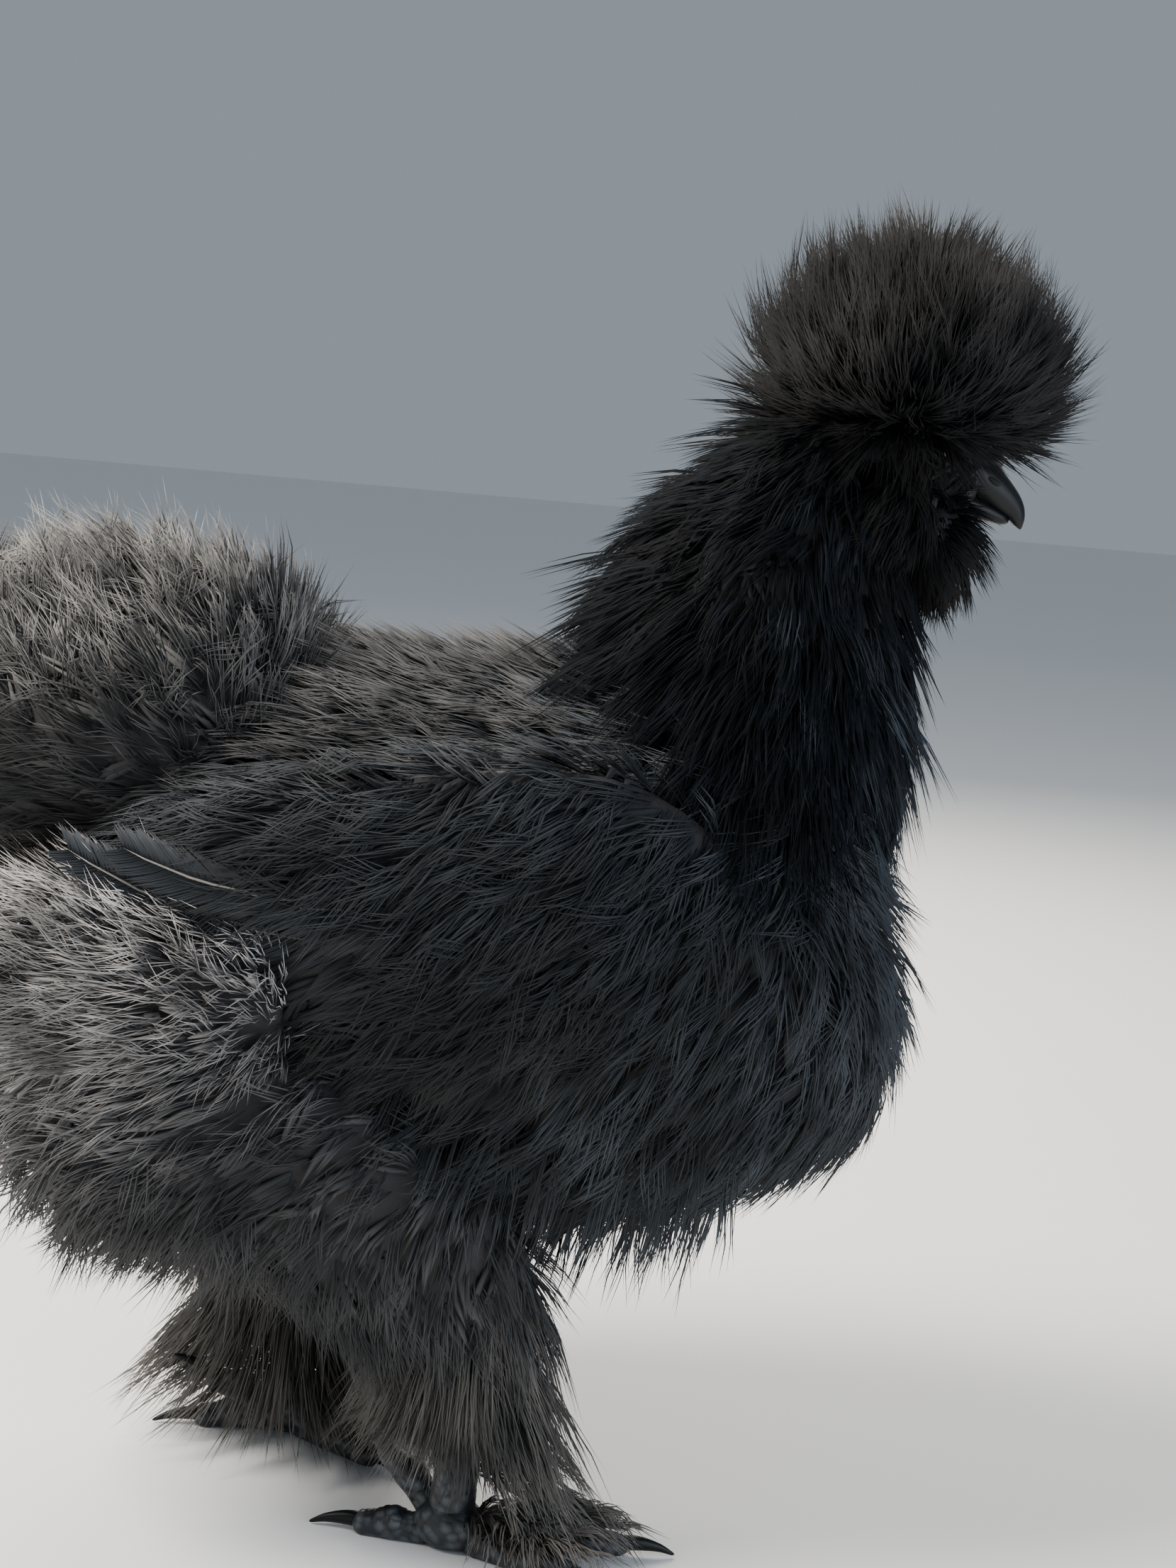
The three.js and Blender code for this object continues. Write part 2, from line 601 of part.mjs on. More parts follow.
// Nodes, each cut clear of the ones before it
const skinTone = { colour: 0x1d1a20, roughness: 0.6 };
const coatTone = { colour: 0x24262a, roughness: 0.85 };
const paleCoatTone = { colour: 0x4a4746, roughness: 0.88 };
const hornTone = { colour: 0x15171b, roughness: 0.4 };
const scaleTone = { colour: 0x3a434d, roughness: 0.6 };
const eyeTone = { colour: 0x120c08, roughness: 0.1 };
const nodes = [];
const boxesMeet = (a, b) => [0, 1, 2].every((k) => a.min[k] <= b.max[k] && b.min[k] <= a.max[k]);
function node(name, tone, build, room = () => build(GAP)) {
  let solid = build(0);
  for (const other of nodes) {
    other.taken ??= other.room();
    if (boxesMeet(solid.boundingBox(), other.taken.boundingBox())) solid = solid.subtract(other.taken);
  }
  solid = largest(solid.trimByPlane([0, 0, 1], FLOOR));
  nodes.push({ name, tone, room, solid });
}
function coatNode(name, tone, cores, locks, reach) {
  node(name, tone, dressed(cores, locks), covered(cores, locks, reach));
}
const sides = [["right", RIGHT], ["left", LEFT]];

for (const [side, hand] of sides) node(`eye_${side}`, eyeTone, (grow) => solidOf(eye(hand, grow)));
node("head", skinTone, (grow) => join([
  solidOf(body(skull, 8, 12)(grow)), solidOf(lid(RIGHT, grow)), solidOf(lid(LEFT, grow)),
]));
node("beak_upper", hornTone, (grow) => {
  const bill = solidOf(body(upperBill, 7, 8)(grow));
  return grow ? bill : bill.subtract(join([solidOf(nostril(RIGHT)), solidOf(nostril(LEFT))]));
});
node("beak_lower", hornTone, (grow) => solidOf(body(lowerBill, 5, 7)(grow)));
node("comb", skinTone, (grow) => join(COMB_LUMPS.map(([ahead, side, up, radius]) =>
  solidOf(ball(onHead(ahead, side, up), [radius, radius, radius], grow, 6)))));
for (const [side, hand] of sides) node(`ear_lobe_${side}`, skinTone, (grow) => solidOf(earLobe(hand, grow)));
coatNode("crest", coatTone, [body(crestCore)], crestLocks, 8);
coatNode("beard", coatTone, [body(beardCore, 6, 9)], beardLocks, 5);
for (const [side, hand] of sides) {
  coatNode(`muff_${side}`, coatTone, [body(muffCore(hand), 5, 8)], muffLocks(hand), 5);
}
coatNode("neck", coatTone, [body(neckCore, 8, 12)], neckLocks, GAP);
for (const [side, hand] of sides) {
  coatNode(`wing_${side}`, coatTone, [body(wingCore(hand), 7, 12)], wingLocks(hand), GAP);
}
coatNode("torso", coatTone, [body(torsoCore, 9, 12)], torsoLocks, GAP);
coatNode("tail", coatTone, [body(tailCore, 8, 12)], tailLocks, GAP);
for (const [side, hand] of sides) {
  coatNode(`leg_${side}`, paleCoatTone, [body(legCore[hand], 10, 11)], legLocks(hand), GAP);
}
for (const [side, hand] of sides) {
  node(`shank_${side}`, scaleTone, (grow) => solidOf(body(shank(hand), 4, 8)(grow)));
  node(`foot_${side}`, scaleTone, (grow) => solidOf(body(pad(hand), 4, 8)(grow)));
  for (const toe of TOES) {
    node(`toe_${toe.name}_${side}`, scaleTone, (grow) => solidOf(body(toeForm(hand, toe), 4, 6)(grow)));
    node(`claw_${toe.name}_${side}`, hornTone, (grow) => solidOf(body(clawForm(hand, toe), 3, 5)(grow)));
  }
}

// The finished bird, standing with the middle of its outline over the origin
const bird = new THREE.Group();
for (const { name, tone, solid } of nodes) {
  const { colour, roughness } = tone;
  const material = new THREE.MeshStandardMaterial({ color: colour, roughness, metalness: 0 });
  const mesh = new THREE.Mesh(geometryOf(solid), material);
  mesh.name = name;
  bird.add(mesh);
}
const outline = new THREE.Box3().setFromObject(bird);
const middle = outline.getCenter(vec(0, 0, 0));
bird.position.set(-middle.x, -middle.y, -outline.min.z);

export default bird;
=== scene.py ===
"""A life-size silkie hen in its looks: dark skin, horn and scales, and a coat of fine silky strands in clumps.

Sizes are in millimetres in the names and tables, and turned to metres where a mesh is made. The bird faces +X,
with +Z up and its left side towards +Y.
"""

import bmesh
import bpy
import numpy as np
from mathutils import Matrix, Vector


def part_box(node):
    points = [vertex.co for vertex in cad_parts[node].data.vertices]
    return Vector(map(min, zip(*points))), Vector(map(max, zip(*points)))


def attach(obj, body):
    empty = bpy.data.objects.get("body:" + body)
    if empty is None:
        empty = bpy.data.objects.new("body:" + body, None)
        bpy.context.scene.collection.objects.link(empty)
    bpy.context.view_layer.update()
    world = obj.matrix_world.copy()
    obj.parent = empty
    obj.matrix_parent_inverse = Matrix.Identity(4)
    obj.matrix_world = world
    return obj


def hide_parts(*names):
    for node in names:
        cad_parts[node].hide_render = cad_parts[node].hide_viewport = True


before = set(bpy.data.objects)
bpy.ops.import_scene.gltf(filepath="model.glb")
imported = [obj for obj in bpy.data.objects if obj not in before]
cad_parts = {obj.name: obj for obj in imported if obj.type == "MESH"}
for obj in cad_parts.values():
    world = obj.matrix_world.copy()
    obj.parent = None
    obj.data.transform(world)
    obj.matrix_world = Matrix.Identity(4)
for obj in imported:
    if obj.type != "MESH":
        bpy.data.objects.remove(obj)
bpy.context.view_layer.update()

# Driving dimensions, as the solids have them
HEAD = {"x": 105, "z": 274, "pitch": -27}
EYE = {"forward": 4, "side": 10.6, "up": 3.2, "radius": 4.3}
CREST = {"x": 104, "z": 296, "length": 45, "width": 43, "height": 42}
COAT = {"torso": 13, "neck": 11, "wing": 10}  # its depth over the body, where it lies flat
FOOT = {"right": (17, -32, -4), "left": (-32, 31, 4)}
HAND = {"right": -1, "left": 1}
PAD_HEIGHT = 5.2
CLAW = {"length": 11, "radius": 1.9}
MM = 0.001
TURN = 2 * np.pi
GOLDEN = np.pi * (3 - np.sqrt(5))  # the angle between places that are spread evenly

head_turn = np.radians(HEAD["pitch"])
FORWARD = np.array([np.cos(head_turn), 0, np.sin(head_turn)])
CROWN = np.array([-np.sin(head_turn), 0, np.cos(head_turn)])
SIDEWAYS = np.array([0.0, 1.0, 0.0])
UP = np.array([0.0, 0.0, 1.0])


def on_head(ahead, side, up):
    """A place on the head: so far along the bill, to the left and towards the crown from the middle of the skull."""
    return np.array([HEAD["x"], side, HEAD["z"]]) + ahead * FORWARD + up * CROWN


def unit(vectors):
    """Each vector divided by its length."""
    return vectors / np.maximum(np.linalg.norm(vectors, axis=-1, keepdims=True), 1e-9)


# The solids stand with the middle of their outline over the origin, so the right eye tells how far they were moved
eye_box = np.array([list(corner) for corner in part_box("eye_right")])
SHIFT = eye_box.mean(axis=0) / MM - on_head(EYE["forward"], -EYE["side"], EYE["up"])
SHIFT[2] = 0


def spline(rows, t):
    """A smooth curve through the rows, t from 0 to 1: the cubic of the four nearest rows whose slope at each row is
    half the step between its neighbours, with a straight run added at both ends."""
    rows = np.asarray(rows, float)
    rows = np.vstack([2 * rows[0] - rows[1], rows, 2 * rows[-1] - rows[-2]])
    place = np.clip(t, 0, 1) * (len(rows) - 3)
    i = np.minimum(place.astype(int), len(rows) - 4)
    w = (place - i)[..., None]
    a, b, c, d = rows[i], rows[i + 1], rows[i + 2], rows[i + 3]
    leave, arrive = (c - a) / 2, (d - b) / 2
    return b + w * (leave + w * (3 * (c - b) - 2 * leave - arrive + w * (2 * (b - c) + leave + arrive)))


SMALL = 1e-3  # a short step of u or v, for slopes
STEP_ENDS = (0.02, 0.98)  # the least and greatest u that a step reaches
SURVEY_ROWS, SURVEY_TURNS = 200, 48  # grid on which a form's area is summed


class Form:
    """Elliptical sections along a smooth path. A station is x, y, z, half height and half width, and the caps are the
    shares of the length over which the ends round off as a quarter circle does."""

    def __init__(self, stations, start_cap, end_cap):
        self.stations = np.asarray(stations, float)
        self.caps = (start_cap, end_cap)

    def sections(self, u):
        """The middles of the sections at u, the ways ahead, sideways and up there, and the half heights and half
        widths, drawn in by the caps."""
        path = self.stations[:, :3]
        ahead = unit(spline(path, u + SMALL) - spline(path, u - SMALL))
        up = unit(np.cross(ahead, SIDEWAYS))
        end = np.minimum(np.minimum(u / self.caps[0], (1 - u) / self.caps[1]), 1)
        cap = np.sqrt(np.clip(1 - (1 - end) ** 2, 0, 1))
        tall, wide = np.moveaxis(spline(self.stations[:, 3:], u), -1, 0) * cap
        return spline(path, u), ahead, unit(np.cross(up, ahead)), up, tall, wide

    def skin(self, u, v):
        """The section's middle plus its half width times cos v sideways and its half height times sin v upwards."""
        centre, _, side, up, tall, wide = self.sections(u)
        return centre + (wide * np.cos(v))[..., None] * side + (tall * np.sin(v))[..., None] * up

    def slopes(self, u, v):
        """How the skin moves for each unit of u and of v, from a short step in each."""
        inside = np.where(u < 0.5, SMALL, -SMALL)
        here = self.skin(u, v)
        along = (self.skin(u + inside, v) - here) / inside[..., None]
        return along, (self.skin(u, v + SMALL) - here) / SMALL

    def normal(self, u, v):
        """The cross product of both slopes, turned to point away from the path."""
        out = unit(np.cross(*self.slopes(u, v)))
        middle = spline(self.stations[:, :3], u)
        inward = np.sum(out * (self.skin(u, v) - middle), axis=-1, keepdims=True) < 0
        return np.where(inward, -out, out)

    def step(self, u, v, direction, distance):
        """The place reached by going a distance over the skin along a direction, by least squares in both slopes."""
        along, around = self.slopes(u, v)
        uu, vv = np.sum(along * along, -1), np.sum(around * around, -1)
        uv = np.sum(along * around, -1)
        a, b = np.sum(direction * along, -1), np.sum(direction * around, -1)
        det = np.maximum(uu * vv - uv * uv, 1e-9)
        du, dv = (a * vv - b * uv) / det, (b * uu - a * uv) / det
        length = np.linalg.norm(du[..., None] * along + dv[..., None] * around, axis=-1)
        share = distance / np.maximum(length, 1e-6)
        return np.clip(u + du * share, *STEP_ENDS), v + dv * share

    def spread(self, count, low, high):
        """Places spread evenly over the skin: u from the running sum of the girth, and v a golden angle further for
        each, taken as a share of the way around."""
        u = np.linspace(low, high, SURVEY_ROWS)
        v = np.linspace(0, TURN, SURVEY_TURNS + 1)
        ring = self.skin(u[:, None] + 0 * v, 0 * u[:, None] + v)
        around = np.cumsum(np.linalg.norm(np.diff(ring, axis=1), axis=-1), axis=1)
        run = np.linalg.norm(np.diff(ring.mean(1), axis=0), axis=-1)
        swell = np.linalg.norm(np.diff(ring, axis=0), axis=-1).mean(1)
        area = np.cumsum(np.maximum(run, swell) * (around[1:, -1] + around[:-1, -1]))
        place = np.interp((np.arange(count) + 0.5) / count * area[-1], np.append(0, area), u)
        row = np.clip(np.searchsorted(u, place), 0, len(u) - 1)
        lengths = np.hstack([np.zeros((count, 1)), around[row]])
        goal = (np.arange(count) * GOLDEN / TURN) % 1 * lengths[:, -1]
        cell = np.clip((lengths < goal[:, None]).sum(1) - 1, 0, SURVEY_TURNS - 1)
        before, after = lengths[np.arange(count), cell], lengths[np.arange(count), cell + 1]
        return place, (cell + (goal - before) / np.maximum(after - before, 1e-6)) * TURN / SURVEY_TURNS


def head_form(stations, start_cap, end_cap):
    """A form whose stations are given along the bill, sideways and towards the crown from the middle of the skull."""
    return Form([[*on_head(*row[:3]), *row[3:]] for row in stations], start_cap, end_cap)


# Forms of the body, with the sizes of the solids' cores
SKULL = head_form([[-20, 0, -2, 12, 9.5], [-8, 0, 0, 15.5, 12.5], [5, 0, 0.5, 14.5, 12.2],
                   [15, 0, 0.8, 10, 7.8], [20, 0, 1.6, 6.5, 5.6]], 0.3, 0.12)
CREST_CORE = Form([[CREST["x"] + ahead, 0, CREST["z"] + up, tall, wide] for ahead, up, tall, wide in
                   ((0, 19, 22, 21), (0, 8, 25, 24), (0, -3, 25, 24), (-1, -12, 21, 19))], 0.6, 0.5)
BEARD_CORE = Form([[108, 0, 263, 8, 10], [113, 0, 254, 9, 12], [111, 0, 243, 7, 9]], 0.4, 0.5)
NECK_CORE = Form([[80, 0, 284, 14, 13], [83, 0, 266, 20, 19], [80, 0, 248, 28, 28], [73, 0, 226, 36, 37],
                  [68, 0, 198, 39, 45], [64, 0, 168, 42, 51]], 0.16, 0.12)
TORSO_CORE = Form([[106, 0, 164, 40, 40], [82, 0, 156, 56, 56], [45, 0, 149, 63, 65], [0, 0, 146, 64, 67],
                   [-45, 0, 148, 60, 62], [-92, 0, 152, 42, 46]], 0.2, 0.22)
TAIL_CORE = Form([[-36, 0, 180, 34, 44], [-68, 0, 188, 42, 52], [-105, 0, 188, 38, 46],
                  [-142, 0, 182, 25, 31]], 0.25, 0.4)
LEG_CORE = {
    "right": Form([[-99, -41, 112, 15, 13], [-72, -47, 113, 31, 25], [-40, -48, 110, 33, 27],
                   [-10, -45, 92, 27, 22], [11, -39, 68, 23, 16], [18, -35, 44, 13, 11],
                   [20, -34, 24, 6, 6]], 0.16, 0.1),
    "left": Form([[-104, 40, 111, 15, 13], [-80, 46, 112, 30, 25], [-54, 48, 108, 31, 26],
                  [-40, 45, 88, 27, 22], [-35, 39, 64, 21, 17], [-33, 35, 42, 16, 13],
                  [-32, 33, 24, 7, 7]], 0.16, 0.1),
}


def sided(rows, start_cap, end_cap):
    """A form on each side of the bird, from the stations of the left one."""
    return {side: Form([[x, hand * y, z, tall, wide] for x, y, z, tall, wide in rows], start_cap, end_cap)
            for side, hand in HAND.items()}


# The folded wing, a long flat form that lies against the flank
WING_CORE = sided([[74, 56, 172, 20, 8], [38, 66, 168, 30, 9], [-6, 69, 163, 31, 9], [-48, 64.6, 160, 22.5, 8],
                   [-80, 56, 158, 10, 5]], 0.25, 0.3)
# The cheek's cushion below and behind the eye
MUFF_CORE = sided([[113, 12, 264, 7, 4], [102, 15, 261, 9, 5], [91, 16, 256, 8, 5]], 0.45, 0.5)
# The middle of the thigh's cloud of down, which swells out over the lower rear edge of the wing
PUFF_CORE = sided([[-22, 66, 141, 13, 9], [-42, 69, 140, 19, 11], [-70, 62, 141, 21, 12], [-102, 48, 134, 17, 10]],
                  0.2, 0.3)

# The unwrap: each form has its own square of the map, with v across it and u up it
FLESH_FORMS = [SKULL, CREST_CORE, BEARD_CORE, NECK_CORE, TORSO_CORE, TAIL_CORE, *LEG_CORE.values(),
               *WING_CORE.values(), *MUFF_CORE.values()]
SQUARES = [*FLESH_FORMS, *PUFF_CORE.values()]
SQUARES_ACROSS = 4
SQUARE_MARGIN = 0.03
TUFT_PATCH = 0.003  # the size of a strand's place on the map


def unwrap(form, u, v):
    """Places on the map: the form's square inside its margin, with the share of the turn across it and u up it."""
    index = SQUARES.index(form)
    inner = 1 - 2 * SQUARE_MARGIN
    across = index % SQUARES_ACROSS + SQUARE_MARGIN + inner * v
    upwards = index // SQUARES_ACROSS + SQUARE_MARGIN + inner * u
    return np.stack([across, upwards], axis=-1) / SQUARES_ACROSS


# Meshes
def make_mesh(name, points, corners, starts, material, patches=None, values=None):
    """An object from points in millimetres, the corner list of all faces and where each face starts in it."""
    mesh = bpy.data.meshes.new(name)
    mesh.vertices.add(len(points))
    mesh.vertices.foreach_set("co", ((points + SHIFT) * MM).astype(np.float32).ravel())
    mesh.loops.add(len(corners))
    mesh.loops.foreach_set("vertex_index", corners.astype(np.int32))
    mesh.polygons.add(len(starts))
    mesh.polygons.foreach_set("loop_start", starts.astype(np.int32))
    mesh.polygons.foreach_set("use_smooth", np.ones(len(starts), bool))
    mesh.update(calc_edges=True)
    if patches is not None:
        mesh.uv_layers.new(name="OFBake").uv.foreach_set("vector", patches.astype(np.float32).ravel())
    for key, value in (values or {}).items():
        kind, field = ("FLOAT", "value") if value.ndim == 1 else ("FLOAT_VECTOR", "vector")
        mesh.attributes.new(key, kind, "POINT").data.foreach_set(field, value.astype(np.float32).ravel())
    obj = bpy.data.objects.new(name, mesh)
    bpy.context.scene.collection.objects.link(obj)
    mesh.materials.append(material)
    return obj


def side_quads(rows, sides):
    """Corners of the quads between rings of points, and the numbers of a ring's points and of those next to them."""
    s = np.arange(sides)
    after = (s + 1) % sides
    base = np.arange(rows)[:, None] * sides
    return np.stack([base + s, base + after, base + after + sides, base + s + sides], axis=-1).reshape(-1), s, after


def closed_grid(rings):
    """Points, corners and face starts of a surface through rings of points, with its first and last ring drawn
    together to their middles."""
    count, sides, _ = rings.shape
    points = np.vstack([rings.reshape(-1, 3), rings[0].mean(0), rings[-1].mean(0)])
    quads, s, after = side_quads(count - 1, sides)
    last = (count - 1) * sides
    first_fan = np.stack([after, s, np.full(sides, count * sides)], axis=-1)
    last_fan = np.stack([last + s, last + after, np.full(sides, count * sides + 1)], axis=-1)
    corners = np.concatenate([quads, first_fan.ravel(), last_fan.ravel()])
    quad_starts = np.arange((count - 1) * sides) * 4
    fan_starts = len(quads) + np.arange(2 * sides) * 3
    return points, corners, np.concatenate([quad_starts, fan_starts])


def rings_of(form, count, sides, height=0.0):
    """Rings over a form at a height above its skin, closer together towards its ends."""
    u = (1 - np.cos(np.pi * (np.arange(count) + 0.5) / count)) / 2
    v = TURN * np.arange(sides) / sides
    u, v = np.meshgrid(u, v, indexing="ij")
    return form.skin(u, v) + height * form.normal(u, v)


def above_floor(points, least=0.0):
    """The points, with those below the least height raised to it."""
    return np.concatenate([points[..., :2], np.maximum(points[..., 2:], least)], axis=-1)


def outward(obj):
    """Turns all faces of a closed mesh outwards, once its shape is final."""
    work = bmesh.new()
    work.from_mesh(obj.data)
    bmesh.ops.recalc_face_normals(work, faces=work.faces)
    work.to_mesh(obj.data)
    work.free()
    return obj


def merged(*parts):
    """Several tuples of arrays as one, with the arrays in the same place joined."""
    return tuple(np.concatenate(arrays) for arrays in zip(*parts))


def from_rings(name, surfaces, material, forms=None, values=None):
    """One object of several closed surfaces of rings, unwrapped where their forms are given."""
    parts, vertex_count, corner_count = [], 0, 0
    for i, rings in enumerate(surfaces):
        points, corners, starts = closed_grid(rings)
        patches = [loft_patches(forms[i], corners, starts, *rings.shape[:2])] if forms else []
        parts.append((points, corners + vertex_count, starts + corner_count, *patches))
        vertex_count += len(points)
        corner_count += len(corners)
    points, corners, starts, *patches = merged(*parts)
    return outward(make_mesh(name, points, corners, starts, material, *patches, values=values))


def lofts(name, parts, material, bumps=None):
    """One object of several closed forms, each given as form, rings, sides and height. The optional bumps function
    moves the ring points. Forms with a square of the map are unwrapped to it."""
    surfaces = [rings_of(*part) for part in parts]
    if bumps:
        surfaces = [bumps(rings) for rings in surfaces]
    forms = [part[0] for part in parts]
    return from_rings(name, surfaces, material, forms if forms[0] in SQUARES else None)


def loft_patches(form, corners, starts, count, sides):
    """The unwrap of a loft's corners: u from the ring, and v from the column. The column after the seam is given a
    turn more, so that no face spans the map, and a pole lies at the middle of each of its faces."""
    pole = corners >= count * sides
    column = corners % sides
    u = (np.minimum(corners // sides, count - 1) + 0.5) / count
    u = np.where(corners == count * sides, 0, np.where(corners == count * sides + 1, 1, u))
    face = np.searchsorted(starts, np.arange(len(corners)), side="right") - 1
    first = np.minimum.reduceat(np.where(pole, sides, column), starts)[face]
    last = np.maximum.reduceat(np.where(pole, 0, column), starts)[face]
    wraps = (last == sides - 1) & (first == 0)
    v = np.where(wraps & (column == 0), sides, column) / sides
    v = np.where(pole, np.where(wraps, sides - 0.5, first + 0.5) / sides, v)
    return unwrap(form, u, v)


# Strands and clumps
NARROWING = ([0, 0.3, 0.6, 0.85], [0.7, 1.0, 0.85, 0.45])  # a strand's width at four places along it


def tubes(name, lines, ups, lies, widths, roots, tones, thickness, material):
    """Closed strands of three sides. Each follows its line and narrows to the last point; its section is a triangle
    of the strand's width with its ridge towards the up direction. The lies are the outward directions of the coat."""
    count, rings = len(lines), lines.shape[1] - 1
    along = np.gradient(lines, axis=1)
    side = unit(np.cross(ups, along))
    out = unit(np.cross(along, side))
    place = np.arange(rings) / rings
    narrowing = np.interp(place, *NARROWING)
    half = (widths[:, None] / 2 * narrowing)[..., None]
    flat = lines[:, :rings]
    ring = np.stack([
        flat - half * side[:, :rings],
        flat + half * side[:, :rings],
        flat + thickness * 2 * half * out[:, :rings],
    ], axis=2)
    points = np.concatenate([ring.reshape(count, -1, 3), lines[:, rings:]], axis=1)
    each = points.shape[1]
    quads, s, after = side_quads(rings - 1, 3)
    top = (rings - 1) * 3
    fans = np.stack([top + s, top + after, np.full(3, top + 3)], axis=-1).reshape(-1)
    pattern = np.concatenate([quads, fans, [2, 1, 0]])
    starts = np.concatenate([np.arange(3 * (rings - 1)) * 4, len(quads) + np.arange(4) * 3])
    corners = (pattern + each * np.arange(count)[:, None]).ravel()
    all_starts = (starts + len(pattern) * np.arange(count)[:, None]).ravel()
    height = np.append(np.repeat(place, 3), 1.0)
    width = np.append(np.tile([0.0, 1.0, 0.5], rings), 0.5)
    inner = np.stack([width, height], axis=-1)[pattern] - 0.5
    patches = roots[:, None, :] + TUFT_PATCH * inner
    values = {"tone": np.repeat(tones, each), "tip": np.tile(height, count), "lie": np.repeat(lies, each, axis=0)}
    return make_mesh(name, points.reshape(-1, 3), corners, all_starts, material, patches, values)


LINE_STEPS = 7  # places on a clump's middle line
MIDDLE = LINE_STEPS // 2
SKIN_ENDS = (0.03, 0.97)  # where a clump's line leaves the form


def lie_lines(form, u, v, flow, length, depth, sink=3.0, rise=0.8):
    """Middle lines of clumps: each starts sunk under the form's skin, steps along the lie of the coat and lifts from
    the sink to the coat's depth by a power of the way along. Past an end of the form it runs straight on."""
    roots = unwrap(form, u, (v / TURN) % 1)
    lines, ups = [], []
    going = np.zeros(len(u), bool)
    straight = np.zeros((len(u), 3))
    for i in range(LINE_STEPS):
        t = i / (LINE_STEPS - 1)
        normal = form.normal(u, v)
        point = form.skin(u, v) + (-sink + (depth + sink) * t ** rise)[:, None] * normal
        if i:
            normal = np.where(going[:, None], ups[-1], normal)
            point = np.where(going[:, None], lines[-1] + straight, point)
        lines.append(point)
        ups.append(normal)
        way = unit(flow(point, normal))
        u, v = form.step(u, v, way, length / (LINE_STEPS - 1))
        ended = (u < SKIN_ENDS[0]) | (u > SKIN_ENDS[1])
        if i:
            straight = np.where((ended & ~going)[:, None], way * (length / (LINE_STEPS - 1))[:, None], straight)
            going = going | ended
    return np.stack(lines, 1), np.stack(ups, 1), ups[MIDDLE], roots


def free_lines(form, u, v, flow, length, stand, settle, fall, sink):
    """Middle lines of fluff: parabolas that leave the skin towards the flow plus a share of the normal, and turn
    evenly towards the flow plus another share of the normal and a share of straight down."""
    t = np.linspace(0, 1, LINE_STEPS)[:, None]
    normal = form.normal(u, v)
    point = form.skin(u, v) - sink * normal
    way = unit(flow(point, normal))
    way = unit(way - np.sum(way * normal, -1, keepdims=True) * normal)
    start = unit(way + stand * normal)
    finish = unit(way + settle * normal - fall * UP)
    reach = length[:, None, None]
    lines = point[:, None] + reach * ((t - t * t / 2) * start[:, None] + t * t / 2 * finish[:, None])
    side = unit(np.cross(normal, way))[:, None]
    ups = unit(np.cross(np.gradient(lines, axis=1), side))
    return lines, ups, normal, unwrap(form, u, (v / TURN) % 1)


def along_line(lines, t):
    """The places at shares t of the way along middle lines of straight steps, and the directions there."""
    cell = np.clip((t * (LINE_STEPS - 1)).astype(int), 0, LINE_STEPS - 2)
    w = (t * (LINE_STEPS - 1) - cell)[..., None]
    row = np.arange(len(lines)).reshape(-1, *[1] * (t.ndim - 1))
    here, there = lines[row, cell], lines[row, cell + 1]
    return here * (1 - w) + there * w, unit(there - here)


CLUMP_TONE, STRAND_TONE = 0.68, 0.32  # shares of the clump's and of the strand's own tone
EDGE_CUT = 0.3  # by how much strands at a clump's edge are shorter
STRAND_ENDS, STRAND_WIDTHS = (0.68, 1.0), (0.7, 1.25)  # least and greatest share of the clump's length and width


def comb_out(lines, ups, lies, roots, rng, strands, spread, start=0.25, curl=1.5, loft=1.5, width=0.5, fan=0.0,
             rings=2, stray=0.9):
    """Strands of clumps. Each keeps its own place across and above its clump's middle line. Across, that opens by the
    spread times a leaf shape or, by the fan share, a widening one, and a sine of the way along, which grows with its
    square, makes it wave. Strands at a clump's edges are shorter."""
    n = len(lines)
    across = rng.uniform(-1, 1, (n, strands))
    above = rng.uniform(-0.4, 1, (n, strands))
    begin = rng.uniform(0, start, (n, strands))
    end = (1 - EDGE_CUT * across ** 2) * rng.uniform(*STRAND_ENDS, (n, strands))
    t = begin[..., None] + (end - begin)[..., None] * np.linspace(0, 1, rings + 1)
    middle, along = along_line(lines, t)
    up = unit(along_line(ups, t)[0])
    side = unit(np.cross(up, along))
    leaf = 0.35 + 1.3 * t - 1.2 * t ** 2
    widening = 0.3 + 0.9 * t
    opening = spread * ((1 - fan) * leaf + fan * widening)
    wave = curl * rng.uniform(0.3, 1, (n, strands, 1)) * t ** 2
    phase = rng.uniform(0, TURN, (n, 1, 1)) + rng.normal(0, stray, (n, strands, 1))
    sway = wave * np.sin(phase + 5.0 * t)
    bob = wave * np.cos(phase + 4.0 * t)
    points = middle + (across[..., None] * opening + sway)[..., None] * side
    points = points + (above[..., None] * loft * (0.3 + 0.7 * t) + 0.6 * bob)[..., None] * up
    widths = width * rng.uniform(*STRAND_WIDTHS, (n, strands))
    clump_tone = rng.uniform(0, 1, (n, 1))
    tones = CLUMP_TONE * clump_tone + STRAND_TONE * rng.uniform(0, 1, (n, strands))
    spots = np.repeat(roots[:, None, :], strands, axis=1)
    return (points.reshape(-1, rings + 1, 3), up.reshape(-1, rings + 1, 3), np.repeat(lies, strands, axis=0),
            widths.ravel(), spots.reshape(-1, 2), tones.ravel())


SECTION_STEPS = 30  # how finely a form's sections are tested
THINNEST = 0.1  # what is left of a section that the margin takes away


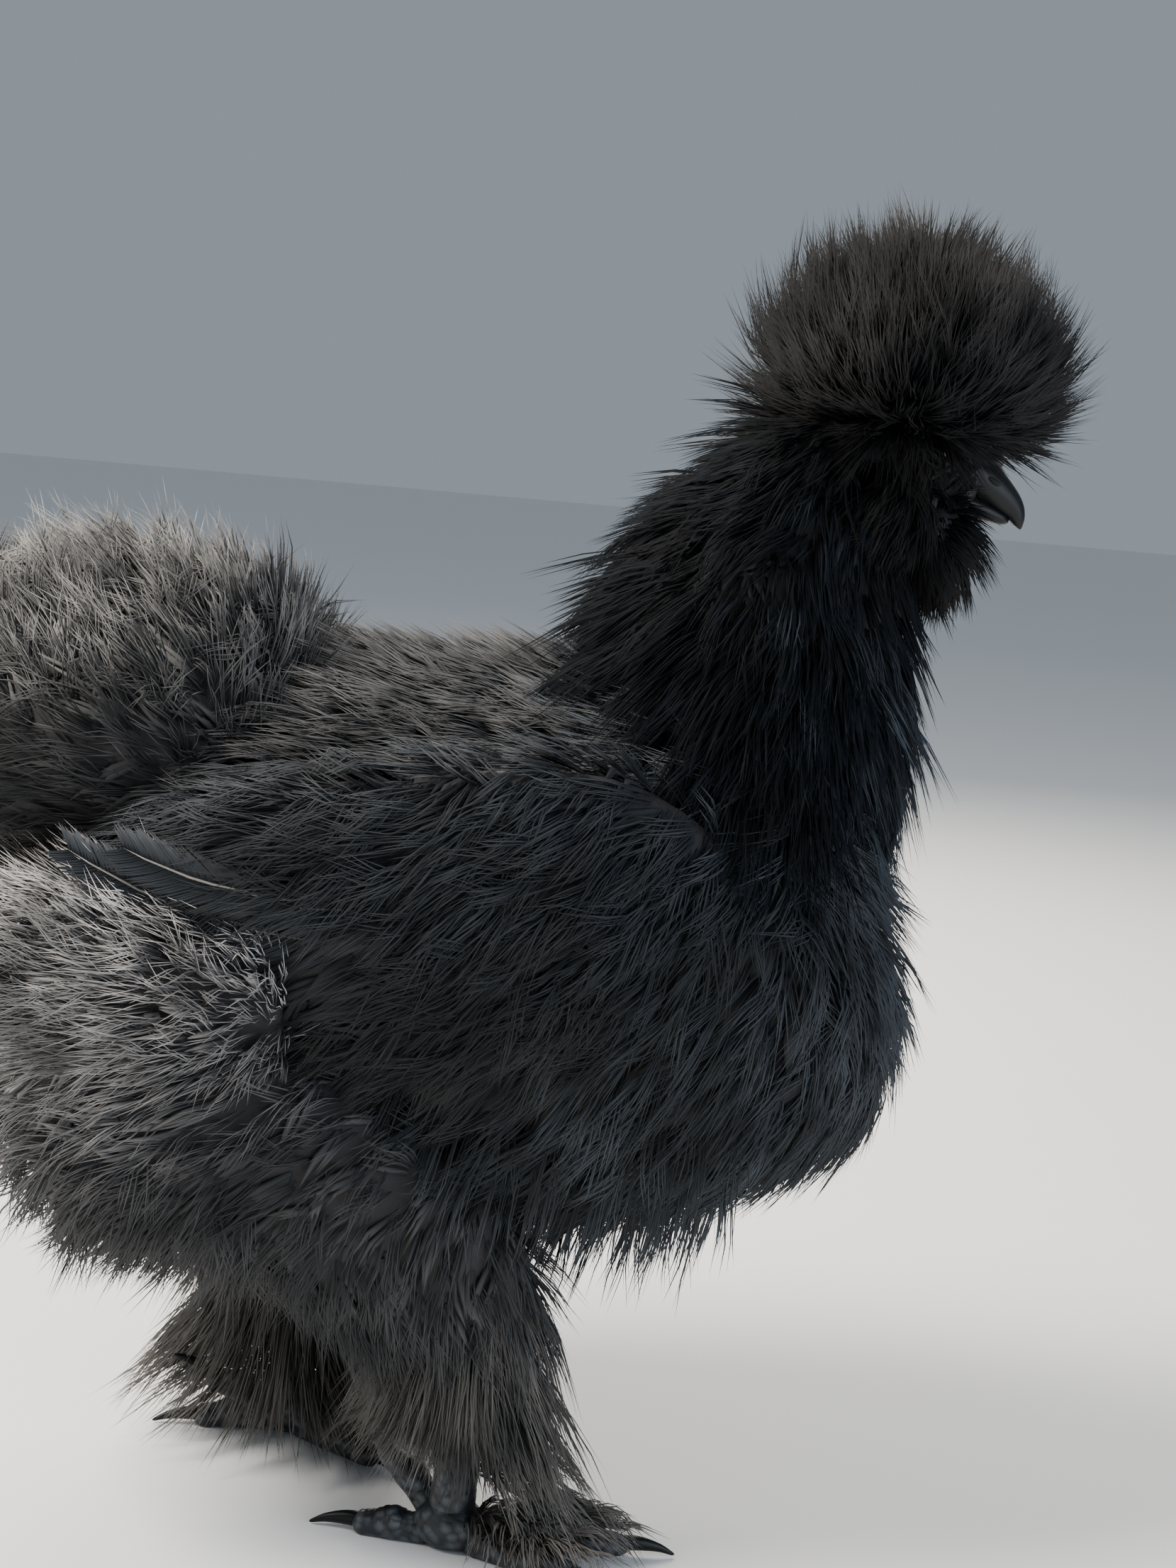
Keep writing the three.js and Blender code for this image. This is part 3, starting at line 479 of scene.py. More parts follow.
def inside(form, points, margin):
    """Whether points lie inside a form that is grown by a margin, tested against its sections."""
    centre, ahead, side, up, tall, wide = form.sections(np.linspace(0, 1, SECTION_STEPS + 1))
    reach = np.linalg.norm(np.diff(centre, axis=0), axis=-1).sum() / SECTION_STEPS + 0.5 * abs(margin)
    away = points[..., None, :] - centre
    oval = ((np.sum(away * side, -1) / np.maximum(wide + margin, THINNEST)) ** 2
            + (np.sum(away * up, -1) / np.maximum(tall + margin, THINNEST)) ** 2)
    return np.any((np.abs(np.sum(away * ahead, -1)) < reach) & (oval < 1), axis=-1)


def towards(x, y, z):
    """A lie of the coat that is the same everywhere."""
    return lambda p, n: np.broadcast_to(np.array([x, y, z], float), p.shape)


def torso_flow(p, n):
    """Backwards, and downwards the more the skin faces forwards or sideways and the lower it lies."""
    low = np.clip((185 - p[:, 2]) / 60, 0, 1)
    down = -0.3 - 1.7 * np.maximum(0, n[:, 0]) - 0.45 * np.abs(n[:, 1]) * low - 0.25 * low
    return np.stack([-np.ones(len(p)), 0 * down, down], axis=-1)


def wing_flow(p, n):
    """Backwards and down, steep at the shoulder and nearly level towards the wing's rear end."""
    front = np.clip((p[:, 0] + 40) / 110, 0, 1)
    return np.stack([-np.ones(len(p)), 0 * front, -0.3 - 0.7 * front], axis=-1)


def tail_flow(p, n):
    """Upwards and backwards over the cushion's front and top, and backwards and down below its middle."""
    high = np.clip((p[:, 2] - 165) / 45, 0, 1)
    return np.stack([-0.9 + 0.5 * high, 0.35 * n[:, 1], 1.5 * high - 0.55], axis=-1)


def leg_flow(p, n):
    """Backwards on the thigh, turning downwards and a little forwards over the height of the shank."""
    t = np.clip((108 - p[:, 2]) / 40, 0, 1)
    t = t * t * (3 - 2 * t)
    return np.stack([-1 + 1.2 * t, 0.15 * n[:, 1], -0.45 - 0.55 * t + 0.5 * np.maximum(0, n[:, 2])], axis=-1)


def cape_flow(p, n):
    """Down and backwards, and outwards as far as the skin faces sideways."""
    return np.stack([0 * n[:, 0] - 0.45, 0.5 * n[:, 1], 0 * n[:, 0] - 1], axis=-1)


def scapular_flow(p, n):
    """Backwards, and outwards from the middle of the back."""
    return np.stack([0 * p[:, 0] - 1, 0.5 * np.sign(p[:, 1]), 0 * p[:, 0]], axis=-1)


def scatter(p, size):
    """An offset between plus and minus the size that jumps from place to place: the fraction of a large sine."""
    value = np.sin(p @ np.array([12.99, 78.23, 37.72])) * 43758.5
    return size * (2 * (value - np.floor(value)) - 1)


JITTER = 0.02  # of a clump's turn round its form
LENGTHS, DEPTHS, STANDS = (0.75, 1.15), (0.5, 1.1), (0.6, 1.3)  # least and greatest share of what a coat asks for


def clumps_on(form, seed, count, length, flow, strands, depth=0.0, where=None, clear=(), low=0.03, high=0.97,
              sink=3.0, rise=0.8, swing=0.2, stand=None, settle=0.0, fall=0.0, **look):
    """Clumps spread evenly over a form and combed out, each turned by a random angle from the flow. They lie along
    the skin up to the coat's depth, or stand off as fluff where a stand is given. None grows where the test forbids
    it or where its middle would lie inside one of the forms that it keeps clear of, each given with a margin."""
    rng = np.random.default_rng(seed)
    u, v = form.spread(count, low, high)
    v = v + rng.normal(0, JITTER, count)
    at, normal = form.skin(u, v), form.normal(u, v)
    keep = np.ones(count, bool) if where is None else where(at, normal)
    u, v, at = u[keep], v[keep], at[keep]
    reach = length(at) if callable(length) else np.full(len(u), float(length))
    reach = reach * rng.uniform(*LENGTHS, len(u))
    angle = rng.normal(0, swing, len(u))[:, None]

    def swung(p, n):
        """The flow, turned about the normal by each clump's angle."""
        way = unit(flow(p, n))
        return np.cos(angle) * way + np.sin(angle) * np.cross(n, way)

    if stand is None:
        clumps = lie_lines(form, u, v, swung, reach, depth * rng.uniform(*DEPTHS, len(u)), sink, rise)
    else:
        stand = stand * rng.uniform(*STANDS, (len(u), 1))
        clumps = free_lines(form, u, v, swung, reach, stand, settle, fall, sink)
    for other, margin in clear:
        free = ~inside(other, clumps[0][:, MIDDLE], margin)
        clumps = [values[free] for values in clumps]
    return comb_out(*clumps, rng, strands, **look)


# Materials
PATCH_SIZE = 24  # about how far apart the coat's lighter and darker patches are, in mm
PATCH_NOISE, PATCH_TONE = (0.36, 0.66), (0.45, 1.6)  # the noise's range, and the share of the tone at its two ends


def linear(hex_colour):
    """An sRGB hex colour as linear red, green, blue and alpha."""
    values = np.array([int(hex_colour[i:i + 2], 16) for i in (1, 3, 5)]) / 255
    values = np.where(values <= 0.04045, values / 12.92, ((values + 0.055) / 1.055) ** 2.4)
    return (*values, 1.0)


def add(tree, kind, inputs=(), stops=(), **settings):
    """Adds a shader node with its settings. An input is a value, or an output of another node that is linked to it, and
    stops are the places and hex colours of a colour ramp."""
    node = tree.nodes.new("ShaderNode" + kind)
    for key, value in settings.items():
        setattr(node, key, value)
    for key, value in dict(inputs).items():
        if isinstance(value, bpy.types.NodeSocket):
            tree.links.new(value, node.inputs[key])
        else:
            node.inputs[key].default_value = value
    for i, (place, colour) in enumerate(stops):
        element = node.color_ramp.elements[i] if i < 2 else node.color_ramp.elements.new(place)
        element.position = place
        element.color = linear(colour)
    return node


def start_material(name, colour, roughness, ior=1.5, **more):
    """A new material with its shader, whose constant values are set on the sockets."""
    material = bpy.data.materials.new(name)
    material.use_nodes = True
    tree = material.node_tree
    shader = tree.nodes["Principled BSDF"]
    shader.inputs["Base Color"].default_value = linear(colour)
    shader.inputs["Roughness"].default_value = roughness
    shader.inputs["IOR"].default_value = ior
    for key, value in more.items():
        shader.inputs[key.replace("_", " ")].default_value = value
    return material, tree, shader


LIE_SHARE = 0.8  # of the coat's lie in a strand's shading normal


def silky_strands(name, stops, tip_colour, tip_share, painted_light_fade=(0, 1, 1.0), sheen=0.3, axis=(0.0, 0.0, 1.0)):
    """Barbs without hooks, which stay apart as fine hairs. Each clump and strand has its own tone, and broad patches
    change it. A share that runs along the axis is painted light and shade: it scales the tone from its least value at
    the first of two places along the axis, in mm, to the whole at the second. The tips are painted lighter, a painted
    highlight that is stronger where that painted light is stronger. Most of the shading follows the lie of the coat
    instead of the single strand, as it does where light passes through many fine hairs. Map Range has its ranges at its
    inputs 1 to 4, and Mix has its vectors at 4 and 5 and its colours at 6 and 7."""
    material, tree, shader = start_material(name, stops[0][1], 0.7, 1.55, Specular_IOR_Level=sheen)
    tone = add(tree, "Attribute", attribute_name="tone").outputs["Fac"]
    tip = add(tree, "Attribute", attribute_name="tip").outputs["Fac"]
    lie = add(tree, "Attribute", attribute_name="lie").outputs["Vector"]
    place = add(tree, "TexCoord").outputs["Object"]
    height = add(tree, "VectorMath", {0: place, 1: axis}, operation="DOT_PRODUCT").outputs["Value"]
    low, high, least = painted_light_fade
    lit = add(tree, "MapRange", {"Value": height, 1: low * MM, 2: high * MM, 3: least, 4: 1.0},
              interpolation_type="SMOOTHSTEP")
    patch = add(tree, "TexNoise", {"Vector": place, "Scale": 1 / (PATCH_SIZE * MM)})
    uneven = add(tree, "MapRange", {"Value": patch.outputs["Fac"], **dict(enumerate(PATCH_NOISE + PATCH_TONE, 1))})
    strength = add(tree, "Math", {0: uneven.outputs[0], 1: lit.outputs[0]}, operation="MULTIPLY")
    mixed = add(tree, "Math", {0: tone, 1: strength.outputs[0]}, operation="MULTIPLY", use_clamp=True)
    base = add(tree, "ValToRGB", {"Fac": mixed.outputs[0]}, stops).outputs["Color"]
    edge = add(tree, "Math", {0: tip, 1: 2.0}, operation="POWER")
    weak = add(tree, "Math", {0: edge.outputs[0], 1: tip_share}, operation="MULTIPLY")
    share = add(tree, "Math", {0: weak.outputs[0], 1: strength.outputs[0]}, operation="MULTIPLY", use_clamp=True)
    mix = add(tree, "Mix", {0: share.outputs[0], 6: base, 7: linear(tip_colour)}, data_type="RGBA")
    tree.links.new(mix.outputs[2], shader.inputs["Base Color"])
    bare = add(tree, "NewGeometry").outputs["Normal"]
    smooth = add(tree, "Mix", {0: LIE_SHARE, 4: bare, 5: lie}, data_type="VECTOR")
    turned = add(tree, "VectorMath", {0: smooth.outputs[1]}, operation="NORMALIZE")
    tree.links.new(turned.outputs[0], shader.inputs["Normal"])
    return material


def pored(material, tree, shader, size_mm, depth_mm, strength=0.6):
    """Fine lumps of a real size in the surface's shading."""
    place = add(tree, "TexCoord").outputs["Object"]
    lumps = add(tree, "TexNoise", {"Vector": place, "Scale": 1 / (size_mm * MM), "Detail": 4.0})
    bump = add(tree, "Bump", {"Height": lumps.outputs["Fac"], "Distance": depth_mm * MM, "Strength": strength})
    tree.links.new(bump.outputs["Normal"], shader.inputs["Normal"])
    return material


# Silkie feathers, grown as loose barbs that nothing hooks together. The real barbs are about 0.05 mm thick, too fine
# to show, so the strands are drawn 0.36 to 0.5 mm wide. They give the eye a soft fur with hardly any gloss, dark
# between the clumps, and their tips are painted lighter as a painted highlight. The coat comes in lighter and darker
# copies, painted light and painted shade for where the lamps fall. The stops run from the darkest to the lightest
# strand.
BLACK_SILK = silky_strands(
    "black_silkie_barbs", [(0.0, "#03070b"), (0.4, "#09121a"), (0.75, "#182229"), (1.0, "#2d363c")],
    "#50555a", 0.65)
# The hackle's copy of the coat is darker than the breast's: painted shade on the neck, which the lamps hardly reach.
HACKLE_SILK = silky_strands(
    "hackle_barbs_painted_shade", [(0.0, "#010204"), (0.5, "#02060b"), (0.85, "#040b12"), (1.0, "#0a1219")], "#141c24", 0.3,
    sheen=0.12)
# The throat's copy lies between the hackle's and the breast's: painted light on the front of the neck.
THROAT_SILK = silky_strands(
    "throat_barbs_painted_light", [(0.0, "#02060a"), (0.5, "#0b131a"), (0.85, "#1b252c"), (1.0, "#2f3a41")], "#454e54", 0.5,
    sheen=0.2)
# The crest's copy is nearly black, painted shade, and painted lighter towards the front and top of the pompom as
# painted light. Its brown-grey tips are painted light that shines through them from behind.
CREST_SILK = silky_strands(
    "crest_barbs_painted_light_and_shade", [(0.0, "#010306"), (0.5, "#04080a"), (0.85, "#111517"), (1.0, "#2a2d2e")], "#4f4c49", 0.7,
    (368, 406, 0.25), 0.14, (1.15, -0.1, 0.8))
# Painted lighter towards the top of the wing: painted light where the lamps fall on it.
WING_SILK = silky_strands(
    "wing_covert_barbs", [(0.0, "#02070b"), (0.4, "#071119"), (0.75, "#101a21"), (1.0, "#232b32")],
    "#565a5f", 0.55, (120, 215, 0.35))
# The back's copy is lighter than the breast's, with paler tips: painted light where the key lamp falls on the back,
# lighter still towards its top.
BACK_SILK = silky_strands(
    "back_barbs_painted_light", [(0.0, "#04090c"), (0.4, "#0f151a"), (0.75, "#202427"), (1.0, "#3a3c3e")],
    "#6b6a69", 0.7, (145, 225, 0.26))
# The tail's copy is much lighter still, with pale tips: painted light on the cushion, which faces the key lamp, lighter
# towards its top.
TAIL_SILK = silky_strands(
    "tail_cushion_barbs_painted_light", [(0.0, "#0e1114"), (0.35, "#222426"), (0.7, "#3b3a3a"), (1.0, "#5a5856")],
    "#96938f", 0.9, (184, 236, 0.14))
# Grey down, which the thigh has, and painted lighter still towards the top and rear as painted light where the key lamp
# falls.
PALE_DOWN = silky_strands(
    "grey_thigh_down_painted_light", [(0.0, "#171b1e"), (0.35, "#424446"), (0.7, "#7f7d7c"), (1.0, "#b4b1af")],
    "#cbc7c4", 0.8, (98, 162, 0.11), axis=(-0.5, 0.0, 0.87))
# Drawn up to 2.3 times lighter towards the floor, below 36 mm.
BOOT_DOWN = silky_strands(
    "foot_feather_barbs", [(0.0, "#06090b"), (0.4, "#101416"), (0.75, "#232424"), (1.0, "#4b4844")],
    "#77736e", 0.5, (2, 36, 2.3))
# Darker than the coat over it: painted shade deep in the coat, between the strands.
UNDER_DOWN = silky_strands(
    "under_down_locks_painted_shade", [(0.0, "#030609"), (0.5, "#070c11"), (1.0, "#10161b")], "#1a1f23", 0.4)
# The breed's bare skin, black under a thin dull surface: it looks like dark plum velvet, with folds about 1 mm apart.
# The comb's is thicker and warty, with a soft shine on each wart, and the ear lobe's is smooth and slate blue.
MULBERRY_SKIN = pored(*start_material("mulberry_skin", "#0c0a0e", 0.7), 1.1, 0.25)
COMB_SKIN = pored(*start_material("walnut_comb_skin", "#1d171d", 0.5), 1.6, 0.6, 1.0)
LOBE_SKIN = pored(*start_material("slate_lobe_skin", "#26343b", 0.55), 0.9, 0.2)
# Horn of the bill and claws, grown in layers and worn smooth: nearly black, with a broad soft highlight. Its growth
# waves, a few tenths of a millimetre apart, are drawn 2.4 mm apart so that they show.
HORN = pored(*start_material("slate_horn", "#05070a", 0.42, 1.54, Specular_IOR_Level=0.22), 2.4, 0.08)
# The shaft of a flight feather, smooth keratin with little pigment, which shows as a thin grey line
PALE_HORN = start_material("pale_feather_shaft", "#77736d", 0.4, 1.54)[0]


def pebbled(material, tree, shader, size_mm, depth_mm, groove, crown):
    """Round scales side by side, the cells of a Voronoi pattern: raised in the middle of each, and painted lighter
    there as a painted highlight on each crown.
    """
    place = add(tree, "TexCoord").outputs["Object"]
    cells = add(tree, "TexVoronoi", {"Vector": place, "Scale": 1 / (size_mm * MM)}).outputs["Distance"]
    height = add(tree, "MapRange", {"Value": cells, "From Min": 0.75, "From Max": 0.15}).outputs[0]
    colour = add(tree, "ValToRGB", {"Fac": height}, [(0.2, groove), (0.85, crown)]).outputs["Color"]
    tree.links.new(colour, shader.inputs["Base Color"])
    bump = add(tree, "Bump", {"Height": height, "Distance": depth_mm * MM, "Strength": 1.0})
    tree.links.new(bump.outputs["Normal"], shader.inputs["Normal"])
    return material


# Leg skin of horny scales 1 to 3 mm across, dry and dull: slate pebbles with dark grooves between them, each
# painted pale slate on its crown as a painted highlight
SCALES = pebbled(*start_material("slate_leg_scales", "#252c32", 0.5), 2.8, 0.5, "#171b1f", "#43494d")
# The hollow of a nostril, too deep for light: a flat black slit
NOSTRIL = start_material("nostril_shadow", "#050506", 0.8)[0]


def eye_material():
    """A living eye under a film of tears: it shows as a black bead with one sharp highlight and a dark brown ring
    round the pupil. The axis attribute is 1 in the eye's middle."""
    material, tree, shader = start_material("wet_dark_eye", "#0b0706", 0.04, 1.38, Coat_Weight=1.0)
    axis = add(tree, "Attribute", attribute_name="axis").outputs["Fac"]
    rings = [(0.0, "#0a0808"), (0.68, "#0d0907"), (0.74, "#3a2012"), (0.9, "#2a160c"), (0.92, "#030303")]
    colour = add(tree, "ValToRGB", {"Fac": axis}, rings).outputs["Color"]
    tree.links.new(colour, shader.inputs["Base Color"])
    return material


# The skin and the bare parts of the head
BALL_RINGS, BALL_SIDES = 14, 20


def ball(ahead, side, up, radii, bumps=0.0):
    """Rings of an ellipsoid turned with the head, its radius raised by crossed sines of the given height."""
    a = (np.arange(BALL_RINGS) + 0.5) / BALL_RINGS * np.pi
    b = np.arange(BALL_SIDES) / BALL_SIDES * TURN
    a, b = np.meshgrid(a, b, indexing="ij")
    swell = 1 + bumps * np.sin(4 * b) * np.sin(5 * a)
    x, y, z = (radii[0] * np.cos(a) * swell, radii[1] * np.sin(a) * np.cos(b) * swell,
               radii[2] * np.sin(a) * np.sin(b) * swell)
    return on_head(ahead, side, up) + x[..., None] * FORWARD + y[..., None] * SIDEWAYS + z[..., None] * CROWN


def dress(obj, slot, *nodes):
    """Rides on the bird and stands for the named solids. The slot is not used."""
    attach(obj, "root")
    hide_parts(*nodes)
    return obj


SKIN_INSET, PUFF_INSET = 0.8, 3.0
GAZE_AHEAD = 0.25  # how far ahead the eyes look, over how far sideways
flesh = [(form, 30, 28, 0.0 if form is SKULL else -SKIN_INSET) for form in FLESH_FORMS]
cushions = [(form, 20, 20, -PUFF_INSET) for form in PUFF_CORE.values()]
FLESH = ["head", "crest", "beard", "neck", "torso", "tail"]
FLESH += [f"{name}_{side}" for name in ("muff", "wing", "leg") for side in HAND]
dress(lofts("skin", flesh + cushions, MULBERRY_SKIN), "bare_skin", *FLESH)

for side, hand in HAND.items():
    eye_place = EYE["forward"], hand * EYE["side"], EYE["up"]
    bead = ball(*eye_place, [EYE["radius"]] * 3)
    gaze = unit(GAZE_AHEAD * FORWARD + hand * SIDEWAYS)
    axis = np.clip(unit(closed_grid(bead)[0] - on_head(*eye_place)) @ gaze, 0, 1)
    dress(from_rings(f"eye_ball_{side}", [bead], eye_material(), values={"axis": axis}), "eye", f"eye_{side}")

LID = {"out": 1.3, "gap": 0.3, "thick": 0.9, "swell": 0.35, "open": 0.8}


def lid_rings(hand):
    """Upper and lower lid: a flattened ring round the eye, as a tube whose radius swells with the square of the
    sine."""
    around = np.linspace(0, TURN, 41)[:-1]
    turn = np.linspace(0, TURN, 11)[:-1]
    middle = on_head(EYE["forward"], hand * (EYE["side"] + LID["out"]), EYE["up"])
    a, b = np.meshgrid(around, turn, indexing="ij")
    reach = EYE["radius"] + LID["gap"]
    thick = LID["thick"] + LID["swell"] * np.sin(a) ** 2
    out = np.cos(a)[..., None] * FORWARD + LID["open"] * np.sin(a)[..., None] * CROWN
    return middle + (reach + thick * np.cos(b))[..., None] * out + (thick * np.sin(b) * hand)[..., None] * SIDEWAYS


def ring_surface(name, rings, material):
    """A closed tube: the last ring joins the first."""
    count, sides, _ = rings.shape
    i = np.arange(count)[:, None]
    s = np.arange(sides)
    nxt, after = (i + 1) % count, (s + 1) % sides
    corners = np.stack([i * sides + s, i * sides + after, nxt * sides + after, nxt * sides + s], axis=-1)
    starts = np.arange(count * sides) * 4
    return outward(make_mesh(name, rings.reshape(-1, 3), corners.reshape(-1), starts, material))


LOBE = {"ahead": -8, "side": 12.4, "up": -4.5, "radii": [4.6, 1.9, 6.2], "bumps": 0.04}


for side, hand in HAND.items():
    dress(ring_surface(f"eyelid_{side}", lid_rings(hand), MULBERRY_SKIN), "bare_skin")
    lobe_rings = ball(LOBE["ahead"], hand * LOBE["side"], LOBE["up"], LOBE["radii"], LOBE["bumps"])
    lobe = from_rings(f"lobe_skin_{side}", [lobe_rings], LOBE_SKIN)
    dress(lobe, "bare_skin", f"ear_lobe_{side}")

UPPER_BILL = head_form([[10, 0, 4.2, 5.6, 6.2], [18, 0, 4.3, 5.4, 5.8], [25, 0, 3.5, 4.2, 4.2],
                        [30, 0, 2.2, 2.8, 2.5], [34, 0, -0.8, 0.8, 0.8]], 0.2, 0.12)
LOWER_BILL = head_form([[10, 0, -2.8, 2.6, 5], [18, 0, -2.3, 2.5, 4.6], [25, 0, -1.5, 2.2, 3.3],
                        [30.5, 0, -0.9, 1.2, 1.5]], 0.2, 0.12)
dress(lofts("upper_bill", [(UPPER_BILL, 36, 28, 0.0)], HORN), "horn", "beak_upper")
dress(lofts("lower_bill", [(LOWER_BILL, 30, 24, 0.0)], HORN), "horn", "beak_lower")
nostrils = from_rings("nostrils", [ball(21.5, hand * 5.1, 5.2, [2.0, 0.7, 0.7]) for hand in HAND.values()], NOSTRIL)
dress(nostrils, "horn")
COMB_LUMPS = [(18.5, 0, 9.8, 3.2), (13.5, 2.0, 12.0, 3.6), (13.5, -2.0, 12.0, 3.6)]  # place on the head, radius
comb = from_rings("walnut_comb", [ball(a, s, u, [r, r, r], 0.1) for a, s, u, r in COMB_LUMPS], COMB_SKIN)
dress(comb, "bare_skin", "comb")


# Legs and feet
TOES = {"inner": (-34, 31, 0), "middle": (0, 41, 0), "outer": (32, 34, 0), "hind": (192, 20, 0),
        "fifth": (222, 20, 13)}  # heading outwards from straight ahead, length and lift
TOE_SHAPE = [(0.02, 4.2), (0.3, 3.7), (0.5, 4.2), (0.72, 3.4), (1, 3)]  # share of the length and radius there
TOE_START = 4  # from the middle of the foot
TOE_RAISE = 3  # of a lifted toe's root
SOLE_DEPTH = 0.7
SCUTE = 1.7  # spacing of the scutes along a toe
SCUTE_RIDGE = 0.22


def toe_way(side, toe):
    """The middle line of a toe, as a function of the share of its length and of its radius there: straight out from
    the foot, with the radius and the lift times a power of the share over the floor."""
    x, y, heading = FOOT[side]
    toe_heading, length, lift = TOES[toe]
    angle = np.radians(-heading * HAND[side] + toe_heading)
    ahead = np.array([np.cos(angle), HAND[side] * np.sin(angle), 0])
    root = np.array([x, y, 0]) + TOE_START * ahead

    def way(share, radius):
        """The foot's middle, plus the share of the length ahead and the height up."""
        share = np.asarray(share, float)[..., None]
        rise = lift * np.maximum(share, 0) ** 0.8 + (TOE_RAISE if lift else 0)
        return root + ahead * share * length + (radius - SOLE_DEPTH + rise) * UP
    return way


def toe_form(side, toe):
    """A toe of round sections, thicker over its joints and pads."""
    way = toe_way(side, toe)
    return Form([[*way(share, r), r, r] for share, r in TOE_SHAPE], 0.1, 0.12)


def claw_form(side, toe):
    """A claw that leaves the toe's end, arches and comes to a point."""
    way = toe_way(side, toe)
    _, length, lift = TOES[toe]
    bend = 4 if lift else 0
    stations = []
    for share, drop, radius in [(-0.35, 0.6, CLAW["radius"]), (0.1, 0.9 + bend * 0.2, CLAW["radius"]),
                                (0.6, 0.1 + bend * 0.6, CLAW["radius"] * 0.62), (1, -1.6 + bend, 0.35)]:
        point = way(1 + share * CLAW["length"] / length, TOE_SHAPE[-1][1])
        point[2] = max(radius + 0.1, point[2] + drop)
        stations.append([*point, radius, radius * 0.8])
    return Form(stations, 0.15, 0.05)


def scuted(rings):
    """Raises a ridge over each scute's middle on the upper side, and flattens the sole on the floor."""
    middle = rings.mean(axis=1, keepdims=True)
    run = np.cumsum(np.linalg.norm(np.diff(middle[:, 0], axis=0, prepend=middle[:1, 0]), axis=-1))
    ridge = SCUTE_RIDGE * np.abs(np.sin(np.pi * run / SCUTE))[:, None, None]
    out = unit(rings - middle)
    return above_floor(rings + ridge * out * np.clip(out[..., 2:] + 0.5, 0, 1))


def shank_form(side):
    """The shank, narrow in its middle, which leans inwards and forwards as it rises."""
    x, y, _ = FOOT[side]
    hand = HAND[side]
    return Form([[x + 2, y - 2 * hand, 34, 6, 5.4], [x + 1, y - hand, 22, 5.2, 4.8], [x, y, PAD_HEIGHT, 6, 6]],
                0.1, 0.1)


def pad_form(side):
    """The ball of the foot under the shank, where the toes meet."""
    x, y, _ = FOOT[side]
    return Form([[x - 9, y, PAD_HEIGHT, 4.8, 5], [x, y, PAD_HEIGHT + 0.6, 6.4, 7.6],
                 [x + 9, y, PAD_HEIGHT - 0.6, 5, 7]], 0.35, 0.35)


for side in HAND:
    toes = lofts(f"scaly_toes_{side}", [(toe_form(side, toe), 64, 16) for toe in TOES], SCALES, scuted)
    dress(toes, "leg_scales", *[f"toe_{toe}_{side}" for toe in TOES])
    claws = lofts(f"horn_claws_{side}", [(claw_form(side, toe), 18, 12) for toe in TOES], HORN, above_floor)
    dress(claws, "horn", *[f"claw_{toe}_{side}" for toe in TOES])
    shin = lofts(f"scaly_shank_{side}", [(shank_form(side), 40, 24), (pad_form(side), 24, 24)], SCALES, scuted)
    dress(shin, "leg_scales", f"shank_{side}", f"foot_{side}")


# The coat. Angles are in degrees from the pompom's top, or round it from the front.
CREST_LOWEST = 142
CREST_EDGE = ([0, 35, 60, 90, 120, 180], [120, 124, 133, 141, 136, 126])  # the slope where it ends, round it
CREST_DROOP = ([0, 30, 60, 90, 108, 125, 142], [8, -6, -26, -34, -20, 0, 6])  # how its clumps bend, down it
CREST_HEART = 0.42  # the share of its radius at which the clumps leave its middle
def crest_clumps(seed, count, strands):
    """Clumps of the pompom. They leave its middle evenly in all directions, from the top down to a slope that is
    lowest over the cheeks, and sweep up at the sides by a power of the way out to an ellipsoid."""
    rng = np.random.default_rng(seed)
    i = np.arange(count)
    cosine = 1 - (1 - np.cos(np.radians(CREST_LOWEST))) * (i + 0.5) / count
    slope = np.degrees(np.arccos(cosine)) + rng.normal(0, 2.5, count)
    turn = i * GOLDEN + rng.normal(0, 0.05, count)
    keep = slope < np.interp(np.degrees(np.abs((turn + np.pi) % TURN - np.pi)), *CREST_EDGE)
    slope, turn = slope[keep], turn[keep]
    count = len(slope)
    droop = np.interp(slope, *CREST_DROOP) * rng.uniform(0.5, 1.4, count) + rng.normal(0, 4, count)
    reach = rng.uniform(0.9, 1.13, count) * (1 + 0.06 * np.clip(-np.cos(turn), 0, 1))
    t = np.linspace(0, 1, LINE_STEPS)
    share = CREST_HEART + (reach[:, None] - CREST_HEART) * t
    tilt = np.radians(slope[:, None] + droop[:, None] * (t ** 1.7 - 0.35))
    heading = turn[:, None] + rng.normal(0, 0.16, (count, 1)) * t

    def direction(angle):
        """From the pompom's middle to the ellipsoid, at an angle from its top."""
        return np.stack([CREST["length"] * np.sin(angle) * np.cos(heading),
                         CREST["width"] * np.sin(angle) * np.sin(heading),
                         CREST["height"] * np.cos(angle)], axis=-1)
    lines = share[..., None] * direction(tilt) + np.array([CREST["x"] + 1, 0, CREST["z"] - 5])
    ups = unit(direction(tilt - np.pi / 2))
    lies = unit(direction(tilt)[:, -1])
    roots = unwrap(CREST_CORE, np.clip(slope / (CREST_LOWEST + 3), *STEP_ENDS), (turn / TURN) % 1)
    return comb_out(lines, ups, lies, roots, rng, strands, spread=4.0, start=0.35, curl=2.6, loft=2.6, width=0.37,
                    fan=0.7)


# Height over the floor where the feathers of each foot end at the sides and behind, and how far the low ones reach
BOOT_HEM = {"right": (20, 16), "left": (0, 26)}
BOOT_TOP = 80  # the highest start of a foot's feathers
BOOT_REACH = 26  # of the high ones


